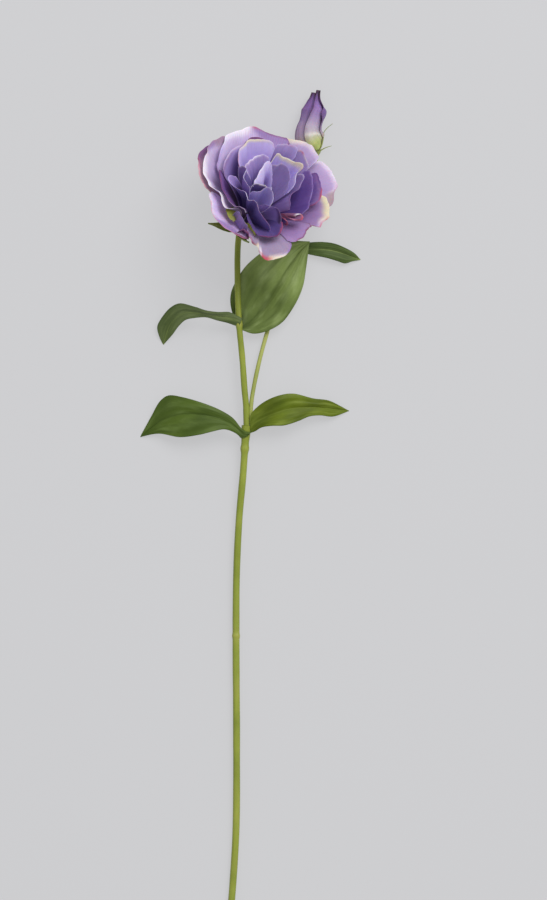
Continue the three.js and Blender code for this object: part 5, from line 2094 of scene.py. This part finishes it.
FRONT: Stops = (
    (0, "c6d850"), (0.12, "bcc474"), (0.22, "b4b294"), (0.26, "d2cec4"), (0.3, "b6abb4"), (0.5, "a08ab2"),
    (0.66, "8a6aa4"), (0.85, "694c86"), (0.885, "5c4268"), (0.91, "35253a"), (1, "2b1d2c"),
)
DULL: Stops = (
    (0, "a3a468"), (0.14, "ac9c90"), (0.28, "a28e9e"), (0.45, "8d76a2"), (0.68, "7c5a98"), (0.86, "5e4276"),
    (0.93, "3c283f"), (1, "2b1d2c"),
)
SHADED: Stops = (
    (0, "b3c05c"), (0.18, "b4a892"), (0.34, "a08ca2"), (0.5, "7e6498"), (0.66, "6e528e"), (0.86, "5a4070"),
    (0.93, "3a2740"), (1, "2b1d2c"),
)


@dataclass
class Bud:
    """The closed bud: five petals that lap over each other and twist towards its tip, and its own calyx.

    Line is its middle and profile its radius along it. Each petal reaches up to its share of the length,
    and wraps round by wrap degrees. The first starts at first_edge degrees and each further one a fifth of
    a turn before the last. Twist is in degrees along the length. The overlap shade is painted shade: how
    much darker each petal is where the next one covers it. The eared petal's free margin stands out as an
    ear and laps over the front one: ear says where along the length and where across the petal, ear_turn
    how many degrees further it reaches.
    """

    sweep: Sweep
    line: Points = (
        (35, 193.7, 3.5), (31.5, 198.4, 6), (30.5, 203, 7), (31.4, 208, 7.2), (32.6, 213.5, 7),
        (33, 219, 6.8), (34.2, 226, 6.6),
    )
    profile: Knots = (
        (0, 1.8), (0.09, 4.8), (0.22, 7.4), (0.38, 6.3), (0.5, 5.7), (0.63, 5.9), (0.71, 4.9), (0.79, 3.3),
        (0.89, 1.9), (0.95, 1.7), (0.985, 1.7), (1, 1.1),
    )
    petals: int = 5
    first_edge: float = 112.0
    wrap: float = 124.0
    twist: Knots = ((0, 0), (0.25, 0), (0.45, -1), (0.6, -10), (0.7, -20), (0.85, -26), (1, -34))
    flatness: float = 0.88
    reach: tuple[float, ...] = (0.985, 1.0, 0.93, 0.94, 0.945)
    root: float = 0.02
    lap: float = 0.75
    thickness: float = 0.34
    rows: int = 90
    columns: int = 64
    tones: tuple[Stops, ...] = (FRONT, SHADED, SHADED, DULL, DULL)
    # painted shade: how much darker each petal is where the next one covers it
    tucked: tuple[float, ...] = (0.15, 0.15, 0.3, 0.5, 0.5)
    eared: int = 1
    ear: tuple[Bump, Bump] = (Bump(0.65, 0.09, 1.2), Bump(0.22, 0.28, 1.0))
    ear_turn: float = 26.0
    # a dark line along each petal's edges and tip, painted shade where the petals lap
    margin: str = "54364f"
    paint: float = 0.4
    cup: Points = ((34.6, 190.6, 2.9), (34.8, 191.7, 3.1), (34.9, 192.8, 3.3))
    threads: tuple[Points, ...] = (
        (
            (35.2, 192, 3.6), (37, 195, 5.8), (38, 199, 7), (38.4, 202.4, 7.4), (40, 204.7, 7.2),
            (43.2, 207.3, 7),
        ),
        ((35.2, 192, 3), (37.2, 193.1, 3.4), (39.6, 194.3, 4), (42.7, 195.2, 4.6)),
        ((34.6, 191.8, 2.8), (31.2, 192.2, 2.4), (27.6, 193.6, 2.2), (25, 196.2, 2.4)),
        ((35, 192, 2.4), (35.4, 195.4, 1), (34.6, 200.6, 0.8)),
        ((34.6, 191.8, 3.2), (31.4, 192, 4.4), (28.4, 192.4, 6.2)),
    )

    ROUND = 5.0  # the radius at which a distance across a petal is reckoned
    LENGTH = 30.0  # about the length of a petal
    THIN_EDGE = 2.0
    RADIAN = 57.3  # degrees

    def build(self) -> None:
        """Makes the bud's petals and calyx."""
        # the bud's petals also glow a little: a painted glow in place of light shining through them
        finish = PetalFinish(
            "bud_petal", veins=22, vein_depth=0.2, roughness=0.55, sheen=0.08, through=0.06
        ).make()
        for k in range(self.petals):
            piece(self.petal(k).mesh(f"bud_petal_{k + 1}"), finish, f"bud_petal_{k + 1}")
        green = StalkFinish("bud_calyx", "98a35c", "7b8a42", "b9bf80").make()
        strands = [Strand(self.cup, lambda t: 1.2 + 0.9 * t, 16)]
        strands += [Strand(line, lambda t: 0.42 * (1 - 0.75 * t), 40) for line in self.threads]
        mesh = self.sweep.mesh("bud_calyx", strands, green, Sides=14, Ridges=5, Ridge_depth=0.08)
        write_values(mesh, "joint", np.zeros(len(mesh.vertices)))
        piece(mesh, green, "bud_calyx")

    def petal(self, k: int) -> Skin:
        """One petal, which laps over the petal beside it and under the next.

        Args:
            k: its number, from 0.

        Returns:
            Its skin.
        """
        u = np.linspace(0, 1, self.rows)[:, None]
        v = np.linspace(0, 1, self.columns)[None, :]
        t = self.root + (self.reach[k] - self.root) * u
        narrow = 1 - 0.25 * u**4
        first = self.first_edge - 360 / self.petals * k
        ear = self.ear[0].grown(t) if k == self.eared else 0 * t
        further = ear * self.ear_turn * (1 - v) ** 2
        turn = np.radians(first + by_knots(self.twist, t) - self.wrap * v * narrow + further)
        seed = 200 + 10 * k
        slant = v * 10 + t * 4
        fold = 0.42 * ramp(0.25, 0.65, u) * wave(slant, 2.4, seed) + 0.14 * wave(slant * 3, 1.6, seed + 1)
        fold = fold + 0.2 * ramp(0.1, 0.5, u) * wave(t * self.LENGTH + 0 * v, 6.0, seed + 3)
        curl = 0.5 * ramp(0.9, 1.0, u) * wave(v * 10, 1.6, seed + 2)
        lip = 0.35 * (ramp(0.08, 0.0, v) + ramp(0.92, 1.0, v) * 0.4) * ramp(0.1, 0.3, u)
        grown = (self.lap * (1 - 2 * v) + fold + curl) * (1 - 0.55 * ramp(0.8, 1.0, t)) + lip
        grown = grown + ear * self.ear[1].grown(v)
        points = placed(self.on_bud(t + 0 * v, turn, grown))
        middle = placed(self.middle(t[:, 0]))[:, None]
        tone = self.tone(t, v, k)
        side = np.minimum(v, 1 - v) * self.wrap / self.RADIAN * self.ROUND
        edge = np.minimum(side, (1 - u) * self.LENGTH)
        thickness = self.thickness * (0.45 + 0.55 * ramp(0, self.THIN_EDGE, edge))
        values = {"edge": edge, "rim_share": np.full(edge.shape, self.paint)}
        # the margin colour is painted shade along the petals' edges
        colours = {"tone": tone, "margin": np.broadcast_to(tint(self.margin), points.shape)}
        return Skin(points, thickness, middle - points, u + 0 * v, v + 0 * u, values, colours)

    def tone(self, t: np.ndarray, v: np.ndarray, k: int) -> np.ndarray:
        """The colour of a petal: yellow-green at the base, lilac-grey, then purple at the tip.

        Args:
            t: places along the bud.
            v: places across the petal.
            k: its number.

        Returns:
            The colour of each point.
        """
        stops = self.tones[k]
        shift = 0.05 * wave(v * 10, 2.0, 300 + k)
        places, codes = zip(*stops)
        colours = np.array([tint(code) for code in codes])
        tone = np.stack([np.interp(t + shift, places, channel) for channel in colours.T], axis=-1)
        # painted shade where the next petal laps over this one
        tucked = self.tucked[k] * ramp(0.38, 0.58, v) * ramp(0.2, 0.45, t)
        return tone * (1 - tucked)[..., None]

    def middle(self, t: np.ndarray) -> np.ndarray:
        """Points of the bud's middle line."""
        return Curve(self.line).at(t)

    def on_bud(self, t: np.ndarray, turn: np.ndarray, grown: np.ndarray) -> np.ndarray:
        """Points about the bud's middle line.

        Args:
            t: how far along it each is.
            turn: its direction, in radians.
            grown: how far it stands out from the bud's round.

        Returns:
            The points.
        """
        step = 1e-3
        along = self.middle(np.minimum(t + step, 1)) - self.middle(np.maximum(t - step, 0))
        along /= np.linalg.norm(along, axis=-1, keepdims=True)
        side = np.cross(along, UP)
        side /= np.linalg.norm(side, axis=-1, keepdims=True)
        up = np.cross(side, along)
        profile = Curve([(a, r, 0) for a, r in self.profile]).points
        r = np.interp(t, profile[:, 0], profile[:, 1]) + grown
        sideways = (r * np.cos(turn))[..., None] * side
        upwards = (self.flatness * r * np.sin(turn))[..., None] * up
        return self.middle(t) + sideways + upwards


# ---- table, light and camera ----


@dataclass
class Stage:
    """The table that the flower lies on, soft light from above its bloom, and the camera over it.

    Places and sizes are in metres, but aim, the spot under the camera, lens and sensor in millimetres.
    """

    table: float = 6.0
    aim: tuple[float, float] = (12.7, 28.15)
    camera_height: float = 5.5
    lens: float = 400.0
    sensor: float = 36.0
    far: float = 50.0
    sky: float = 0.52
    sky_colour: tuple[float, float, float, float] = (0.97, 0.98, 1.0, 1.0)
    light_power: float = 54.0
    light_size: float = 1.6
    light_place: tuple[float, float, float] = (0.9, 1.5, 2.0)
    light_target: tuple[float, float, float] = (0.0, 0.1, 0.02)

    def build(self) -> None:
        """Sets the stage."""
        self._floor()
        self._sky()
        self._light()
        self._camera()
        bpy.context.scene.view_settings.view_transform = "Standard"

    def _floor(self) -> None:
        """A wide flat table top."""
        half = self.table / 2
        corners = [(-half, -half, 0), (half, -half, 0), (half, half, 0), (-half, half, 0)]
        mesh = bpy.data.meshes.new("table_top")
        mesh.from_pydata(corners, [], [(0, 1, 2, 3)])
        mesh.materials.append(FloorFinish().make())
        top = bpy.data.objects.new("table_top", mesh)
        bpy.context.scene.collection.objects.link(top)

    def _sky(self) -> None:
        """Even pale light from all round."""
        world = bpy.data.worlds.new("soft_sky")
        world.use_nodes = True
        sky = world.node_tree.nodes["Background"]
        sky.inputs["Color"].default_value = self.sky_colour
        sky.inputs["Strength"].default_value = self.sky
        bpy.context.scene.world = world

    def _light(self) -> None:
        """A large soft light above the bloom's far side."""
        lamp = bpy.data.lights.new("soft_box", "AREA")
        lamp.energy = self.light_power
        lamp.size = self.light_size
        made = bpy.data.objects.new("soft_box", lamp)
        made.location = self.light_place
        beam = Vector(self.light_target) - made.location
        made.rotation_euler = beam.to_track_quat("-Z", "Y").to_euler()
        bpy.context.scene.collection.objects.link(made)

    def _camera(self) -> None:
        """The camera straight above, with the bloom's end at the top of its picture."""
        lens = bpy.data.cameras.new("above")
        lens.lens = self.lens
        lens.sensor_width = self.sensor
        lens.clip_end = self.far
        made = bpy.data.objects.new("above", lens)
        made.location = (self.aim[0] * MM, self.aim[1] * MM, self.camera_height)
        bpy.context.scene.collection.objects.link(made)
        bpy.context.scene.camera = made


def write_size() -> None:
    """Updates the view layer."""
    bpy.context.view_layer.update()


def main() -> None:
    """Builds the flower from its cut end to its bud, and the stage."""
    logging.basicConfig(level=logging.INFO, format="%(name)s %(message)s")
    sweep = Sweep()
    Stalks(sweep).build()
    for leaf in LEAVES:
        leaf.build()
    Bloom().build()
    Bud(sweep).build()
    Stage().build()
    write_size()


if __name__ == "__main__":
    main()
